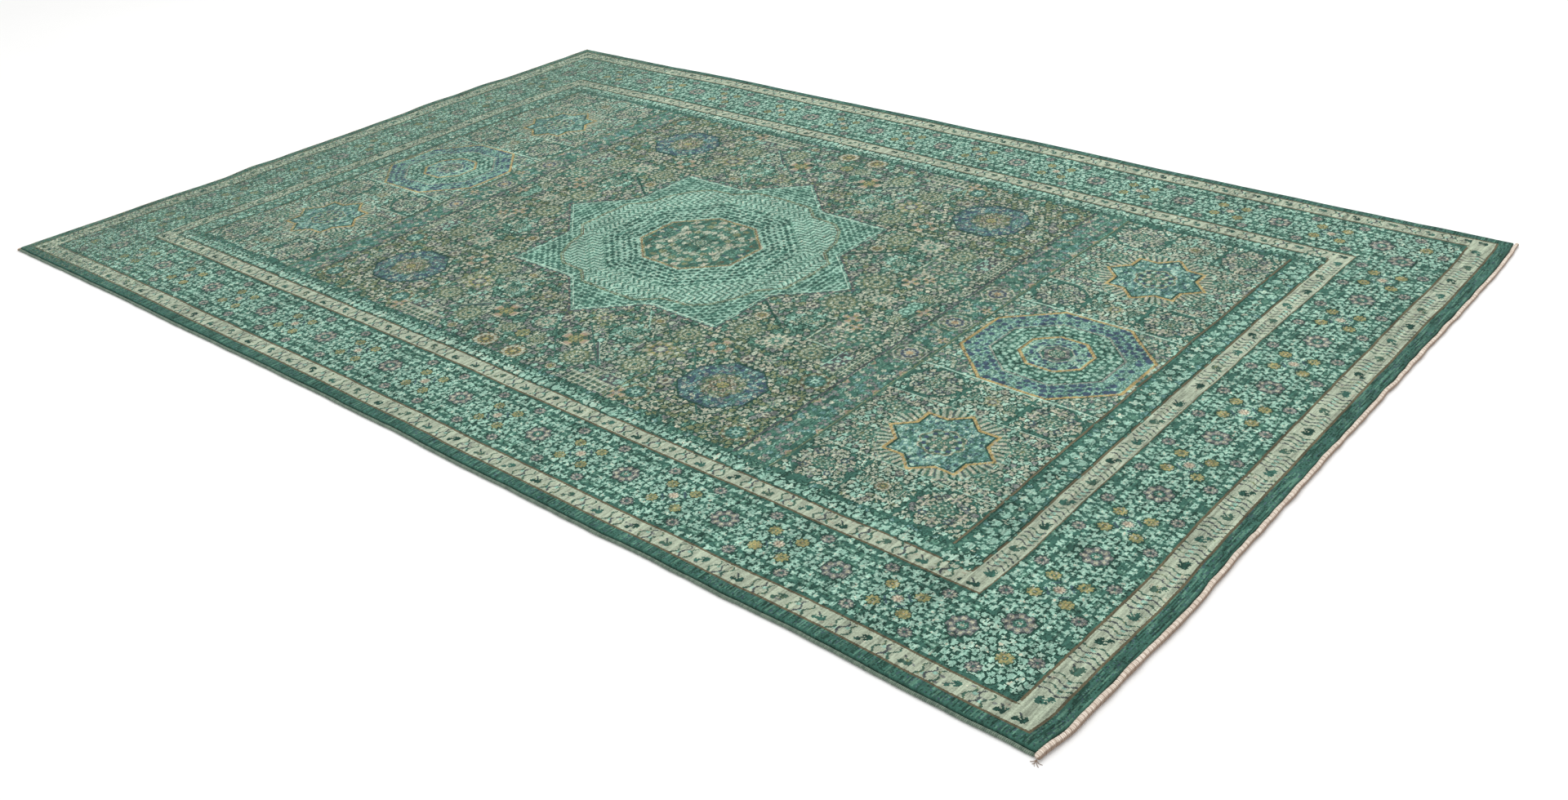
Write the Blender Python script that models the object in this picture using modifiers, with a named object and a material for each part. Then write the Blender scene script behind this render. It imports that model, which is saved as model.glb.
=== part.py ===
# Hand-knotted rug lying flat: a pile carpet with an overcast cord on each long side
# and a whipped cord on each short end. X runs along the warps, Y across them, and
# Z is up from the floor, with the origin under the middle of the whole rug.

from collections import namedtuple
from math import cos, pi

import bpy
import bmesh

# Driving sizes, in metres.
RUG_LENGTH = 2.745              # between the corners, finishes included
RUG_WIDTH = 1.83
CARPET_THICKNESS = 0.0085       # pile and foundation together
RIM_ROUNDING = 0.0018           # the clipped pile's soft rim
NEAR_END_CORD = 0.0100          # diameters of the four finishing cords
FAR_END_CORD = 0.0070
SIDE_CORD = 0.0060
SEAT_GAP = 0.0003               # between a cord and the carpet that it is sewn to
CORD_OVERHANG = 0.0020          # an end cord's tip past the side cords

# Grid of the carpet and steps of the cords.
STEPS_ALONG = 44
STEPS_ACROSS = 36
RIM_STEPS = 2
CORD_SIDES_RESOLUTION = 2

# How far each edge lies outside the straight line between its corners.
# "along" goes from -1 to 1: far end to near end on a side, near side to far side on an end.
Bow = namedtuple("Bow", "along outward_mm")

NEAR_SIDE = [Bow(-1.0, 4.0), Bow(-0.6, -4.0), Bow(-0.1, -12.0), Bow(0.3, -9.0),
             Bow(0.65, -10.0), Bow(1.0, -4.0)]
FAR_SIDE = [Bow(-1.0, -1.0), Bow(-0.8, 1.0), Bow(-0.53, 10.0), Bow(-0.35, 7.0),
            Bow(-0.15, 8.0), Bow(0.2, 5.0), Bow(0.5, -5.0), Bow(0.8, -8.0), Bow(1.0, -7.0)]
NEAR_END = [Bow(-1.0, 2.0), Bow(-0.92, 11.0), Bow(-0.62, 17.5), Bow(-0.3, 14.0),
            Bow(0.0, 12.0), Bow(0.78, 12.0), Bow(0.93, 8.0), Bow(1.0, 3.0)]
FAR_END = [Bow(-1.0, -10.0), Bow(-0.85, -12.0), Bow(-0.6, -13.0), Bow(-0.43, -20.0),
           Bow(-0.3, -14.0), Bow(-0.15, -10.0), Bow(0.0, -10.0), Bow(0.2, -5.0),
           Bow(0.4, 1.0), Bow(0.5, -4.0), Bow(0.65, -6.0), Bow(0.85, -7.0), Bow(1.0, -5.0)]

# Places where the far end doesn't lie quite flat: each swell is highest at the edge.
Swell = namedtuple("Swell", "across height half_width reach")

FAR_END_SWELLS = [
    Swell(across=-0.300, height=0.0030, half_width=0.090, reach=0.16),
    Swell(across=0.270, height=0.0025, half_width=0.100, reach=0.20),
    Swell(across=0.470, height=0.0030, half_width=0.110, reach=0.24),
]

Finish = namedtuple("Finish", "colour roughness")

PILE_FINISH = Finish((0.075, 0.200, 0.165), 0.95)
SIDE_CORD_FINISH = Finish((0.120, 0.200, 0.160), 0.90)
END_CORD_FINISH = Finish((0.620, 0.540, 0.430), 0.90)


def smooth_bow(rows, along):
    """Outward distance in metres at a place along an edge, eased through the table's rows."""
    for left, right in zip(rows, rows[1:]):
        if along <= right.along:
            share = (along - left.along) / (right.along - left.along)
            eased = (1.0 - cos(pi * share)) / 2.0
            return (left.outward_mm + (right.outward_mm - left.outward_mm) * eased) / 1000.0
    return rows[-1].outward_mm / 1000.0


def swell_height(distance_in, across):
    """Height of the underside off the floor, at a distance in from the far end."""
    height = 0.0
    for swell in FAR_END_SWELLS:
        sideways = abs(across - swell.across) / swell.half_width
        inward = max(distance_in, 0.0) / swell.reach
        if sideways < 1.0 and inward < 1.0:
            height += swell.height * (1.0 + cos(pi * sideways)) * (1.0 + cos(pi * inward)) / 4.0
    return height


def mid_shift():
    """How far the bowed outline's middle is from the middle of its corners."""
    tries = [step / 100.0 for step in range(-100, 101)]
    near_end = max(smooth_bow(NEAR_END, v) for v in tries)
    far_end = max(smooth_bow(FAR_END, v) for v in tries)
    near_side = max(smooth_bow(NEAR_SIDE, u) for u in tries)
    far_side = max(smooth_bow(FAR_SIDE, u) for u in tries)
    return (near_end - far_end) / 2.0, (far_side - near_side) / 2.0


SHIFT_X, SHIFT_Y = mid_shift()


def rug_point(u, v, far_inset=0.0, near_inset=0.0, side_inset=0.0):
    """Plan position for u along and v across, both -1 to 1, with each edge set in."""
    half_length = RUG_LENGTH / 2.0
    half_width = RUG_WIDTH / 2.0
    far_x = -half_length - smooth_bow(FAR_END, v) + far_inset
    near_x = half_length + smooth_bow(NEAR_END, v) - near_inset
    near_y = -half_width - smooth_bow(NEAR_SIDE, u) + side_inset
    far_y = half_width + smooth_bow(FAR_SIDE, u) - side_inset
    x = far_x + (near_x - far_x) * (1.0 + u) / 2.0
    y = near_y + (far_y - near_y) * (1.0 + v) / 2.0
    return x - SHIFT_X, y - SHIFT_Y


def floor_height(x, y):
    """Height of the rug's underside at a plan position."""
    far_x = -RUG_LENGTH / 2.0 - SHIFT_X
    return swell_height(x - far_x, y)


def rug_material(name, finish):
    material = bpy.data.materials.new(name)
    material.use_nodes = True
    shader = material.node_tree.nodes["Principled BSDF"]
    shader.inputs["Base Color"].default_value = (*finish.colour, 1.0)
    shader.inputs["Roughness"].default_value = finish.roughness
    shader.inputs["Metallic"].default_value = 0.0
    return material


def make_carpet(collection, material):
    """The knotted carpet: a bowed sheet given its thickness, with a soft rim."""
    grid = bmesh.new()
    bmesh.ops.create_grid(grid, x_segments=STEPS_ALONG, y_segments=STEPS_ACROSS, size=1.0)
    for vert in grid.verts:
        x, y = rug_point(vert.co.x, vert.co.y,
                         far_inset=FAR_END_CORD + SEAT_GAP,
                         near_inset=NEAR_END_CORD + SEAT_GAP,
                         side_inset=SIDE_CORD + SEAT_GAP)
        vert.co = (x, y, floor_height(x, y))
    mesh = bpy.data.meshes.new("carpet")
    grid.to_mesh(mesh)
    grid.free()
    mesh.materials.append(material)
    carpet = bpy.data.objects.new("carpet", mesh)
    collection.objects.link(carpet)

    thickness = carpet.modifiers.new("Thickness", "SOLIDIFY")
    thickness.thickness = CARPET_THICKNESS
    thickness.offset = 1.0
    rim = carpet.modifiers.new("Soft rim", "BEVEL")
    rim.width = RIM_ROUNDING
    rim.segments = RIM_STEPS
    rim.limit_method = "ANGLE"
    rim.angle_limit = pi / 4.0
    return carpet


def tip_radius(step, last_step):
    """A cord's tips are drawn in a little by their last turns of thread."""
    from_tip = min(step, last_step - step)
    return (0.55, 0.9)[from_tip] if from_tip < 2 else 1.0


def make_cord(collection, name, route, diameter, material):
    """A round cord along its route, lying on the floor or on the carpet's swells."""
    curve = bpy.data.curves.new(name, "CURVE")
    curve.dimensions = "3D"
    curve.bevel_depth = diameter / 2.0
    curve.bevel_resolution = CORD_SIDES_RESOLUTION
    curve.use_fill_caps = True
    spline = curve.splines.new("POLY")
    spline.points.add(len(route) - 1)
    for step, (x, y) in enumerate(route):
        height = floor_height(x, y) + diameter / 2.0
        spline.points[step].co = (x, y, height, 1.0)
        spline.points[step].radius = tip_radius(step, len(route) - 1)
    curve.materials.append(material)
    cord = bpy.data.objects.new(name, curve)
    collection.objects.link(cord)
    return cord


def side_route(side):
    """A side cord's centre line, on the near side for -1 and the far side for 1."""
    inset = SIDE_CORD / 2.0
    route = []
    for step in range(STEPS_ALONG + 1):
        u = -1.0 + 2.0 * step / STEPS_ALONG
        route.append(rug_point(u, side,
                               far_inset=FAR_END_CORD + SEAT_GAP,
                               near_inset=NEAR_END_CORD + SEAT_GAP,
                               side_inset=inset))
    return route


def end_route(end, diameter):
    """An end cord's centre line, at the far end for -1 and the near end for 1."""
    inset = diameter / 2.0
    route = []
    for step in range(STEPS_ACROSS + 1):
        v = -1.0 + 2.0 * step / STEPS_ACROSS
        route.append(rug_point(end, v, far_inset=inset, near_inset=inset))
    for tip, inward in ((0, 1), (-1, -1)):
        x, y = route[tip]
        beyond = (x, y - inward * CORD_OVERHANG)
        short = (x, y + inward * diameter / 4.0)
        route[tip] = short
        route.insert(0 if tip == 0 else len(route), beyond)
    return route


def main():
    for old in list(bpy.data.objects):
        bpy.data.objects.remove(old, do_unlink=True)
    collection = bpy.data.collections.new("mamluk_rug")
    bpy.context.scene.collection.children.link(collection)

    pile = rug_material("pile", PILE_FINISH)
    overcast = rug_material("side_cord", SIDE_CORD_FINISH)
    whipping = rug_material("end_cord", END_CORD_FINISH)

    make_carpet(collection, pile)
    make_cord(collection, "side_cord_near", side_route(-1), SIDE_CORD, overcast)
    make_cord(collection, "side_cord_far", side_route(1), SIDE_CORD, overcast)
    make_cord(collection, "end_cord_near", end_route(1, NEAR_END_CORD), NEAR_END_CORD, whipping)
    make_cord(collection, "end_cord_far", end_route(-1, FAR_END_CORD), FAR_END_CORD, whipping)


main()
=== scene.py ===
import math

import bmesh
import bpy
import numpy as np
from mathutils import Euler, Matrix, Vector, noise


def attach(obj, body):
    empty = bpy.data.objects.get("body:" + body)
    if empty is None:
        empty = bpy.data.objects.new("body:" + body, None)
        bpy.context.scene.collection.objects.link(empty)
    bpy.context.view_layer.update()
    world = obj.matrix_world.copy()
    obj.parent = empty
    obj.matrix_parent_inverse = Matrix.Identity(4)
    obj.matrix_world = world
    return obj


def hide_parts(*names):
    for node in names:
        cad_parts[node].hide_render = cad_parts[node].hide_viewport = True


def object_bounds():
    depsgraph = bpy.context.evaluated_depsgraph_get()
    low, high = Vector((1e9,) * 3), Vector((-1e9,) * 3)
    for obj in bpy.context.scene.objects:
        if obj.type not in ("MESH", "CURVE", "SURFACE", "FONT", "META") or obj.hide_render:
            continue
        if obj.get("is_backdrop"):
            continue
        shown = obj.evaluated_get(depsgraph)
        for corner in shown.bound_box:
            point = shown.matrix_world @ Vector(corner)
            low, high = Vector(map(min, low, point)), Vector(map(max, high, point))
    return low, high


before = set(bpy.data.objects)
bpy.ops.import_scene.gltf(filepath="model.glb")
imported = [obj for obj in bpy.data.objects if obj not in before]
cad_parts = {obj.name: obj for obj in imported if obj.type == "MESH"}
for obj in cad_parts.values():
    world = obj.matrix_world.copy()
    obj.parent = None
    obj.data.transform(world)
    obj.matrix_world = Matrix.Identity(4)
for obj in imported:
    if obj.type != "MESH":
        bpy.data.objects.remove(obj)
cadLow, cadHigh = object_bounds()
print("frame loaded:", ", ".join(sorted(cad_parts)))

# The rug's outline, in metres, the same as the plain model's.
rug = {
    "length": 2.745,
    "width": 1.83,
    "thickness": 0.0085,
    "nearEndCord": 0.0100,      # diameters of the finishing cords
    "farEndCord": 0.0070,
    "sideCord": 0.0060,
    "seatGap": 0.0003,
    "cordOverhang": 0.0020,
}

# How far each edge lies outside a straight line: (place from -1 to 1, mm outward)
edgeBows = {
    "nearSide": [(-1.0, 4), (-0.6, -4), (-0.1, -12), (0.3, -9), (0.65, -10), (1.0, -4)],
    "farSide": [(-1.0, -1), (-0.8, 1), (-0.53, 10), (-0.35, 7), (-0.15, 8), (0.2, 5), (0.5, -5), (0.8, -8),
                (1.0, -7)],
    "nearEnd": [(-1.0, 2), (-0.92, 11), (-0.62, 17.5), (-0.3, 14), (0.0, 12), (0.78, 12), (0.93, 8), (1.0, 3)],
    "farEnd": [(-1.0, -10), (-0.85, -12), (-0.6, -13), (-0.43, -20), (-0.3, -14), (-0.15, -10), (0.0, -10), (0.2, -5),
               (0.4, 1), (0.5, -4), (0.65, -6), (0.85, -7), (1.0, -5)],
}

# The far end's low swells: (place across, height, half width, reach inward)
endSwells = [(-0.300, 0.0030, 0.090, 0.16), (0.270, 0.0025, 0.100, 0.20), (0.470, 0.0030, 0.110, 0.24)]


def bowOut(edge, place):
    rows = edgeBows[edge]
    for (fromPlace, fromOut), (toPlace, toOut) in zip(rows, rows[1:]):
        if place <= toPlace:
            share = (place - fromPlace) / (toPlace - fromPlace)
            eased = (1 - math.cos(math.pi * share)) / 2
            return (fromOut + (toOut - fromOut) * eased) / 1000
    return rows[-1][1] / 1000


tries = [step / 100 for step in range(-100, 101)]
shiftX = (max(bowOut("nearEnd", v) for v in tries) - max(bowOut("farEnd", v) for v in tries)) / 2
shiftY = (max(bowOut("farSide", u) for u in tries) - max(bowOut("nearSide", u) for u in tries)) / 2


unevenness = {
    "slow": (0.0022, 6.5),      # how far the knots wander from true, in metres, and how often in a metre
    "quick": (0.0010, 24.0),
}


# Hand work is never quite straight: how far a place lies from where it should.
def wander(x, y):
    dx = dy = 0.0
    for reach, often in unevenness.values():
        dx += reach * noise.noise((x * often, y * often, 3))
        dy += reach * noise.noise((x * often, y * often, 8))
    return dx, dy


# Plan position for u along and v across, both -1 to 1, with the edges set in.
def rugPoint(u, v, farIn=0.0, nearIn=0.0, sideIn=0.0):
    farX = -rug["length"] / 2 - bowOut("farEnd", v) + farIn
    nearX = rug["length"] / 2 + bowOut("nearEnd", v) - nearIn
    nearY = -rug["width"] / 2 - bowOut("nearSide", u) + sideIn
    farY = rug["width"] / 2 + bowOut("farSide", u) - sideIn
    x = farX + (nearX - farX) * (1 + u) / 2
    y = nearY + (farY - nearY) * (1 + v) / 2
    dx, dy = wander(x, y)
    return x - shiftX + dx, y - shiftY + dy


# Height of the rug's underside off the floor.
def floorHeight(x, y):
    inward = max(x + rug["length"] / 2 + shiftX, 0)
    height = 0.0
    for across, top, halfWidth, reach in endSwells:
        sideways = abs(y - across) / halfWidth
        if sideways < 1 and inward < reach:
            height += top * (1 + math.cos(math.pi * sideways)) * (1 + math.cos(math.pi * inward / reach)) / 4
    return height


design = {
    "pitch": 0.002,           # metres from knot to knot
    "columns": 685,           # knots from the middle to an end
    "rows": 453,              # knots from the middle to a side
}

# The wool's colours: red, green and blue out of 255
yarns = {
    "deep": (35, 67, 57),
    "teal": (57, 97, 85),
    "green": (82, 122, 105),
    "mint": (136, 174, 157),
    "pale": (158, 188, 170),
    "stone": (150, 162, 144),
    "sand": (158, 159, 139),
    "mauve": (114, 120, 116),
    "plum": (72, 80, 80),
    "gold": (164, 147, 98),
    "straw": (147, 142, 95),
    "olive": (112, 122, 90),
    "moss": (64, 92, 78),
    "brown": (94, 88, 68),
    "blue": (62, 86, 92),
    "sky": (94, 132, 128),
    "peach": (150, 136, 117),
    "cream": (190, 188, 166),
    "navy": (60, 78, 95),
    "shell": (160, 171, 150),
}
yarnNumber = {name: number for number, name in enumerate(yarns)}

# The neighbouring dye lots that a yarn strays into: darker, lighter
strays = {
    "deep": ("deep", "teal"), "teal": ("deep", "teal"), "green": ("teal", "mint"), "mint": ("green", "pale"),
    "pale": ("mint", "cream"), "stone": ("olive", "cream"), "sand": ("mauve", "cream"), "mauve": ("plum", "stone"),
    "gold": ("brown", "sand"), "straw": ("olive", "sand"), "olive": ("moss", "stone"), "moss": ("teal", "olive"),
    "blue": ("deep", "sky"), "sky": ("teal", "pale"),
}


# The cosine and sine of a turn in degrees.
def ray(degrees):
    turn = math.radians(degrees)
    return math.cos(turn), math.sin(turn)


# The rug's chart: one number for each knot, its yarn.
class Chart:
    def __init__(self, columns, rows, pitch, ground):
        self.pitch = pitch
        self.knots = np.full((rows, columns), yarnNumber[ground], dtype=np.int16)

    # the knots round a point, with their distances from it
    def near(self, x, y, reachX, reachY=None):
        reachY = reachX if reachY is None else reachY
        rows, columns = self.knots.shape
        left = min(max(int((x - reachX) / self.pitch), 0), columns)
        right = min(max(int((x + reachX) / self.pitch) + 2, left), columns)
        low = min(max(int((y - reachY) / self.pitch), 0), rows)
        high = min(max(int((y + reachY) / self.pitch) + 2, low), rows)
        dx = (np.arange(left, right) + 0.5) * self.pitch - x
        dy = (np.arange(low, high) + 0.5) * self.pitch - y
        return self.knots[low:high, left:right], dx[None, :], dy[:, None]

    def box(self, left, low, right, high, yarn):
        halfX, halfY = (right - left) / 2, (high - low) / 2
        view, dx, dy = self.near(left + halfX, low + halfY, halfX, halfY)
        view[(abs(dx) < halfX) & (abs(dy) < halfY)] = yarnNumber[yarn]

    def patch(self, x, y, halfX, halfY, yarn):
        self.box(x - halfX, y - halfY, x + halfX, y + halfY, yarn)

    def line(self, ax, ay, bx, by, width, yarn):
        view, dx, dy = self.near((ax + bx) / 2, (ay + by) / 2, abs(bx - ax) / 2 + width, abs(by - ay) / 2 + width)
        length = math.hypot(bx - ax, by - ay)
        along = (dx * (bx - ax) + dy * (by - ay)) / length
        aside = (dx * (by - ay) - dy * (bx - ax)) / length
        view[(abs(aside) < width / 2) & (abs(along) < length / 2 + width / 3)] = yarnNumber[yarn]

    def path(self, corners, width, yarn):
        for (ax, ay), (bx, by) in zip(corners, corners[1:]):
            self.line(ax, ay, bx, by, width, yarn)

    def outline(self, corners, width, yarn):
        self.path(corners + corners[:1], width, yarn)

    def polygon(self, corners, yarn):
        xs, ys = zip(*corners)
        midX, midY = (min(xs) + max(xs)) / 2, (min(ys) + max(ys)) / 2
        view, dx, dy = self.near(midX, midY, (max(xs) - min(xs)) / 2, (max(ys) - min(ys)) / 2)
        view[insideOf(dx + midX, dy + midY, corners)] = yarnNumber[yarn]

    # the knots round a leaf, and how far along and aside of it they lie, in leaf lengths
    def turned(self, x, y, heading, size):
        view, dx, dy = self.near(x, y, size)
        c, s = ray(heading)
        return view, (dx * c + dy * s) / size, (dy * c - dx * s) / size

    # a leaf whose tip points along its heading: a dome, two curled corners and a stalk
    def leaf(self, x, y, heading, size, yarn, vein=None, edge=None):
        view, along, aside = self.turned(x, y, heading, size)
        aside = abs(aside)
        if edge:
            view[np.hypot(along * 0.95, aside) < 0.66] = yarnNumber[edge]
        dome = (along > -0.12) & (aside < 0.47 * np.sqrt(np.clip(1 - ((along + 0.12) / 0.66) ** 2, 0, 1)))
        curls = (along > -0.34) & (along <= -0.12) & (aside > 0.2) & (aside < 0.5)
        stalk = (along > -0.62) & (along < 0.0) & (aside < 0.09)
        view[dome | curls | stalk] = yarnNumber[yarn]
        if vein:
            view[(along > 0.0) & (along < 0.3) & (aside < 0.16)] = yarnNumber[vein]

    # a ragged leaf with three to five points
    def frond(self, x, y, heading, size, yarn, vein=None, edge=None, points=4):
        view, along, aside = self.turned(x, y, heading, size)
        aside = aside * 1.2
        reach, angle = np.hypot(along, aside), np.arctan2(aside, along)
        if edge:
            view[np.hypot(along + 0.08, aside + 0.06) < 0.56] = yarnNumber[edge]
        view[reach < 0.27 + 0.27 * abs(np.cos(angle * points / 2)) ** 1.6] = yarnNumber[yarn]
        if vein:
            view[(abs(aside) < 0.13) & (along > -0.1) & (along < 0.36)] = yarnNumber[vein]

    # rings from the outside in: share of the radius, yarn between the petals, yarn on the petals
    def rosette(self, x, y, radius, petals, rings, turn=0.0):
        view, dx, dy = self.near(x, y, radius * 1.2)
        reach = np.hypot(dx, dy) / radius
        wave = np.cos(petals * (np.arctan2(dy, dx) - math.radians(turn)))
        for share, between, on in rings:
            inside = reach < share * (1 + 0.07 * wave)
            view[inside & (wave <= 0)] = yarnNumber[between]
            view[inside & (wave > 0)] = yarnNumber[on]


def insideOf(px, py, corners):
    inside = np.zeros(np.broadcast(px, py).shape, dtype=bool)
    for (ax, ay), (bx, by) in zip(corners, corners[1:] + corners[:1]):
        if ay != by:
            inside ^= ((ay > py) != (by > py)) & (px < ax + (py - ay) * (bx - ax) / (by - ay))
    return inside


def rect(left, low, right, high):
    return [(left, low), (right, low), (right, high), (left, high)]


regular = 0.4142        # a regular octagon's flat side, as a share of its width


def octagon(x, y, halfX, halfY, flat=0.42):
    corners = []
    for sideX, sideY in ((1, 1), (-1, 1), (-1, -1), (1, -1)):
        pair = [(x + sideX * halfX, y + sideY * halfY * flat), (x + sideX * halfX * flat, y + sideY * halfY)]
        corners += pair if sideX * sideY > 0 else pair[::-1]
    return corners


straights = [(1, 0), (0, 1), (-1, 0), (0, -1)]
diagonals = [(-1, -1), (-1, 1), (1, -1), (1, 1)]


# An eight-pointed star: a square with a point standing out of each side.
def starCorners(x, y, square, point):
    notch = point - square
    corners = []
    for c, s in straights:
        for along, aside in ((point, 0), (square, notch), (square, square), (notch, square)):
            corners.append((x + c * along - s * aside, y + s * along + c * aside))
    return corners


scatter = {
    "stray": 0.1,               # of the spacing
    "rowStep": 0.87,
    "sizes": (0.85, 1.2),
}


# Small ragged leaves scattered evenly over a region, each turned its own way.
def scatterLeaves(chart, corners, spacing, size, leafYarns, seed, edge=None):
    rng = np.random.default_rng(seed)
    xs, ys = zip(*corners)
    row, y = 0, min(ys) + spacing / 2
    while y < max(ys):
        x = min(xs) + spacing * (0.5 + 0.5 * (row % 2))
        while x < max(xs):
            px, py = [middle + rng.normal(0, spacing * scatter["stray"]) for middle in (x, y)]
            heading = 360 * rng.random()
            yarn = leafYarns[rng.integers(len(leafYarns))]
            leafSize = size * rng.uniform(*scatter["sizes"])
            points = rng.integers(2, 5)
            if insideOf(px, py, corners):
                if points == 2:
                    chart.leaf(px, py, heading, leafSize, yarn, None, edge)
                else:
                    chart.frond(px, py, heading, leafSize, yarn, None, edge, points)
            x += spacing
        y += spacing * scatter["rowStep"]
        row += 1


# A box of one yarn with leaves scattered over it.
def leafyBox(chart, corners, ground, spacing, size, leafYarns, seed, edge=None):
    chart.box(*corners, ground)
    scatterLeaves(chart, rect(*corners), spacing, size, leafYarns, seed, edge)


# How far out a place lies from the middle of an octagon, and how far along its side.
def octagonReach(dx, dy, narrow):
    px, py = np.broadcast_arrays(dx, dy * narrow)
    reach, along = np.zeros(px.shape), np.zeros(px.shape)
    for turn in range(0, 360, 45):
        c, s = ray(turn)
        out = px * c + py * s
        along = np.where(out > reach, py * c - px * s, along)
        reach = np.maximum(reach, out)
    return reach, along


# Staggered rows of small scales that follow an octagon, painted from their rims inwards.
def ringScales(chart, x, y, outer, inner, narrow, steps, scales, seed, others=(), share=0.4, within=None):
    view, dx, dy = chart.near(x, y, outer * 1.12)
    reach, along = octagonReach(dx, dy, narrow)
    rng = np.random.default_rng(seed)
    ragged = rng.normal(0, 0.06, view.shape)
    rows = (outer - reach) / steps[0]
    places = along / steps[1] + 0.5 * (np.floor(rows) % 2)
    side = np.round(np.arctan2(dy * narrow, dx) * 4 / math.pi).astype(int)
    row, place = np.floor(rows).astype(int), np.floor(places).astype(int)
    wild = rng.random((4, 64, 64))[:, row % 64, (place + 13 * side) % 64] - 0.5
    down, across = rows % 1 - 0.5 + wild[1] * 0.28, places % 1 - 0.5 + wild[2] * 0.34
    spot = abs(down) * 1.1 + abs(across) + ragged + wild[0] * 0.42
    ring = (reach < outer) & (reach > inner)
    if within:
        ring = ring & insideOf(dx + x, dy + y, within)
    for below, yarn in scales:
        view[ring & (spot < below)] = yarnNumber[yarn]
    for below, yarn in others:
        view[ring & (spot < below) & (wild[3] < share - 0.5)] = yarnNumber[yarn]


flowers = {
    # petals, then rings from the outside in: share, yarn between petals, yarn on petals
    "gold": (8, [(1.16, "deep", "deep"), (1.0, "olive", "straw"), (0.70, "straw", "straw"), (0.42, "moss", "olive"),
                 (0.2, "gold", "gold")]),
    "faintGold": (8, [(1.1, "deep", "deep"), (0.95, "olive", "straw"), (0.6, "olive", "olive"),
                      (0.3, "moss", "straw")]),
    "mauve": (8, [(1.08, "deep", "deep"), (0.95, "plum", "mauve"), (0.74, "mauve", "sand"), (0.48, "plum", "mauve"),
                  (0.22, "teal", "teal")]),
    "bigMauve": (8, [(1.06, "deep", "deep"), (0.97, "plum", "mauve"), (0.80, "mauve", "sand"),
                     (0.56, "plum", "mauve"), (0.42, "teal", "teal"), (0.30, "mint", "teal"),
                     (0.13, "sand", "sand")]),
    "pink": (8, [(1.0, "mauve", "stone"), (0.75, "peach", "cream"), (0.35, "peach", "sand")]),
    "dotted": (14, [(1.0, "moss", "moss"), (0.95, "moss", "stone"), (0.76, "olive", "moss"), (0.62, "stone", "olive"),
                    (0.44, "moss", "moss"), (0.34, "stone", "olive"), (0.16, "teal", "teal")]),
    "ring": (10, [(1.0, "brown", "moss"), (0.84, "sand", "stone"), (0.6, "straw", "brown"), (0.42, "brown", "moss"),
                  (0.22, "straw", "straw")]),
    "cream": (12, [(1.0, "moss", "stone"), (0.8, "stone", "sand"), (0.56, "green", "stone"), (0.34, "teal", "green"),
                   (0.16, "sand", "sand")]),
    "yellow": (8, [(1.0, "moss", "olive"), (0.88, "olive", "sand"), (0.64, "moss", "straw"), (0.46, "plum", "mauve"),
                   (0.26, "stone", "stone")]),
    "teal": (8, [(1.0, "brown", "olive"), (0.84, "moss", "stone"), (0.68, "teal", "teal"), (0.52, "teal", "sky"),
                 (0.28, "mint", "pale"), (0.12, "teal", "teal")]),
    "flame": (4, [(1.0, "deep", "sand"), (0.84, "moss", "peach"), (0.6, "moss", "straw"), (0.42, "mauve", "peach"),
                  (0.22, "sand", "sand")]),
    "white": (6, [(1.0, "moss", "stone"), (0.7, "green", "sand"), (0.34, "mauve", "mauve")]),
    "mint": (8, [(1.0, "deep", "deep"), (0.9, "mint", "green"), (0.6, "teal", "green"), (0.3, "mint", "mint")]),
    "eye": (8, [(1.0, "olive", "sand"), (0.88, "mauve", "stone"), (0.74, "plum", "navy"), (0.50, "mauve", "stone"),
                (0.28, "peach", "gold")]),
    "small": (6, [(1.0, "plum", "mauve"), (0.7, "stone", "sand"), (0.34, "brown", "plum")]),
    "grey": (8, [(1.0, "moss", "teal"), (0.84, "stone", "green"), (0.66, "moss", "teal"), (0.46, "green", "stone"),
                 (0.2, "olive", "moss")]),
}


def flower(chart, kind, x, y, radius, turn=0.0):
    petals, rings = flowers[kind]
    chart.rosette(x, y, radius, petals, rings, turn)


bands = {
    # edges, in metres from the middle: along to the end, across to the side
    "guardOut": (1.3505, 0.8885),
    "borderOut": (1.3015, 0.8465),
    "borderIn": (1.1470, 0.6860),
    "guardIn": (1.1065, 0.6455),
    "leafIn": (1.0545, 0.6065),
    "sideRepeat": 0.2131,       # border repeat along a side
    "endRepeat": 0.2025,        # and along an end
    "leafSpacing": 0.0140,      # between the border's leaves
    "leafSize": 0.0146,
    "sprigsEnd": 0.0745,        # between the sprigs on the guards
    "sprigsSide": 0.0722,
}

border = {
    "rowStep": 0.92,            # rows of leaves, in leaf spacings
    "strayAlong": 0.0019,
    "strayAside": 0.0021,
    "mintShare": {"end": 0.72, "long": 0.6},    # the leaves that are mint with a pale vein
    "drawnFor": 0.213,          # the repeat that the flowers' places are for
    # flowers round a repeat's middle: along, aside, radius
    "mauve": (0.049, 0.056, 0.0110),
    "gold": (0.0255, 0.0245, 0.0104),
    "rosette": 0.0225,
    "fadedBelow": 0.75,         # the gold is faint along the middle of the sides
}


# Turns a place along and aside in a band into a place on the chart.
def bandSpot(side, along, aside):
    return (along, aside) if side == "long" else (aside, along)


def bandBox(chart, side, fromAlong, toAlong, fromAside, toAside, yarn):
    ax, ay = bandSpot(side, fromAlong, fromAside)
    bx, by = bandSpot(side, toAlong, toAside)
    chart.box(min(ax, bx), min(ay, by), max(ax, bx), max(ay, by), yarn)


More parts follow.
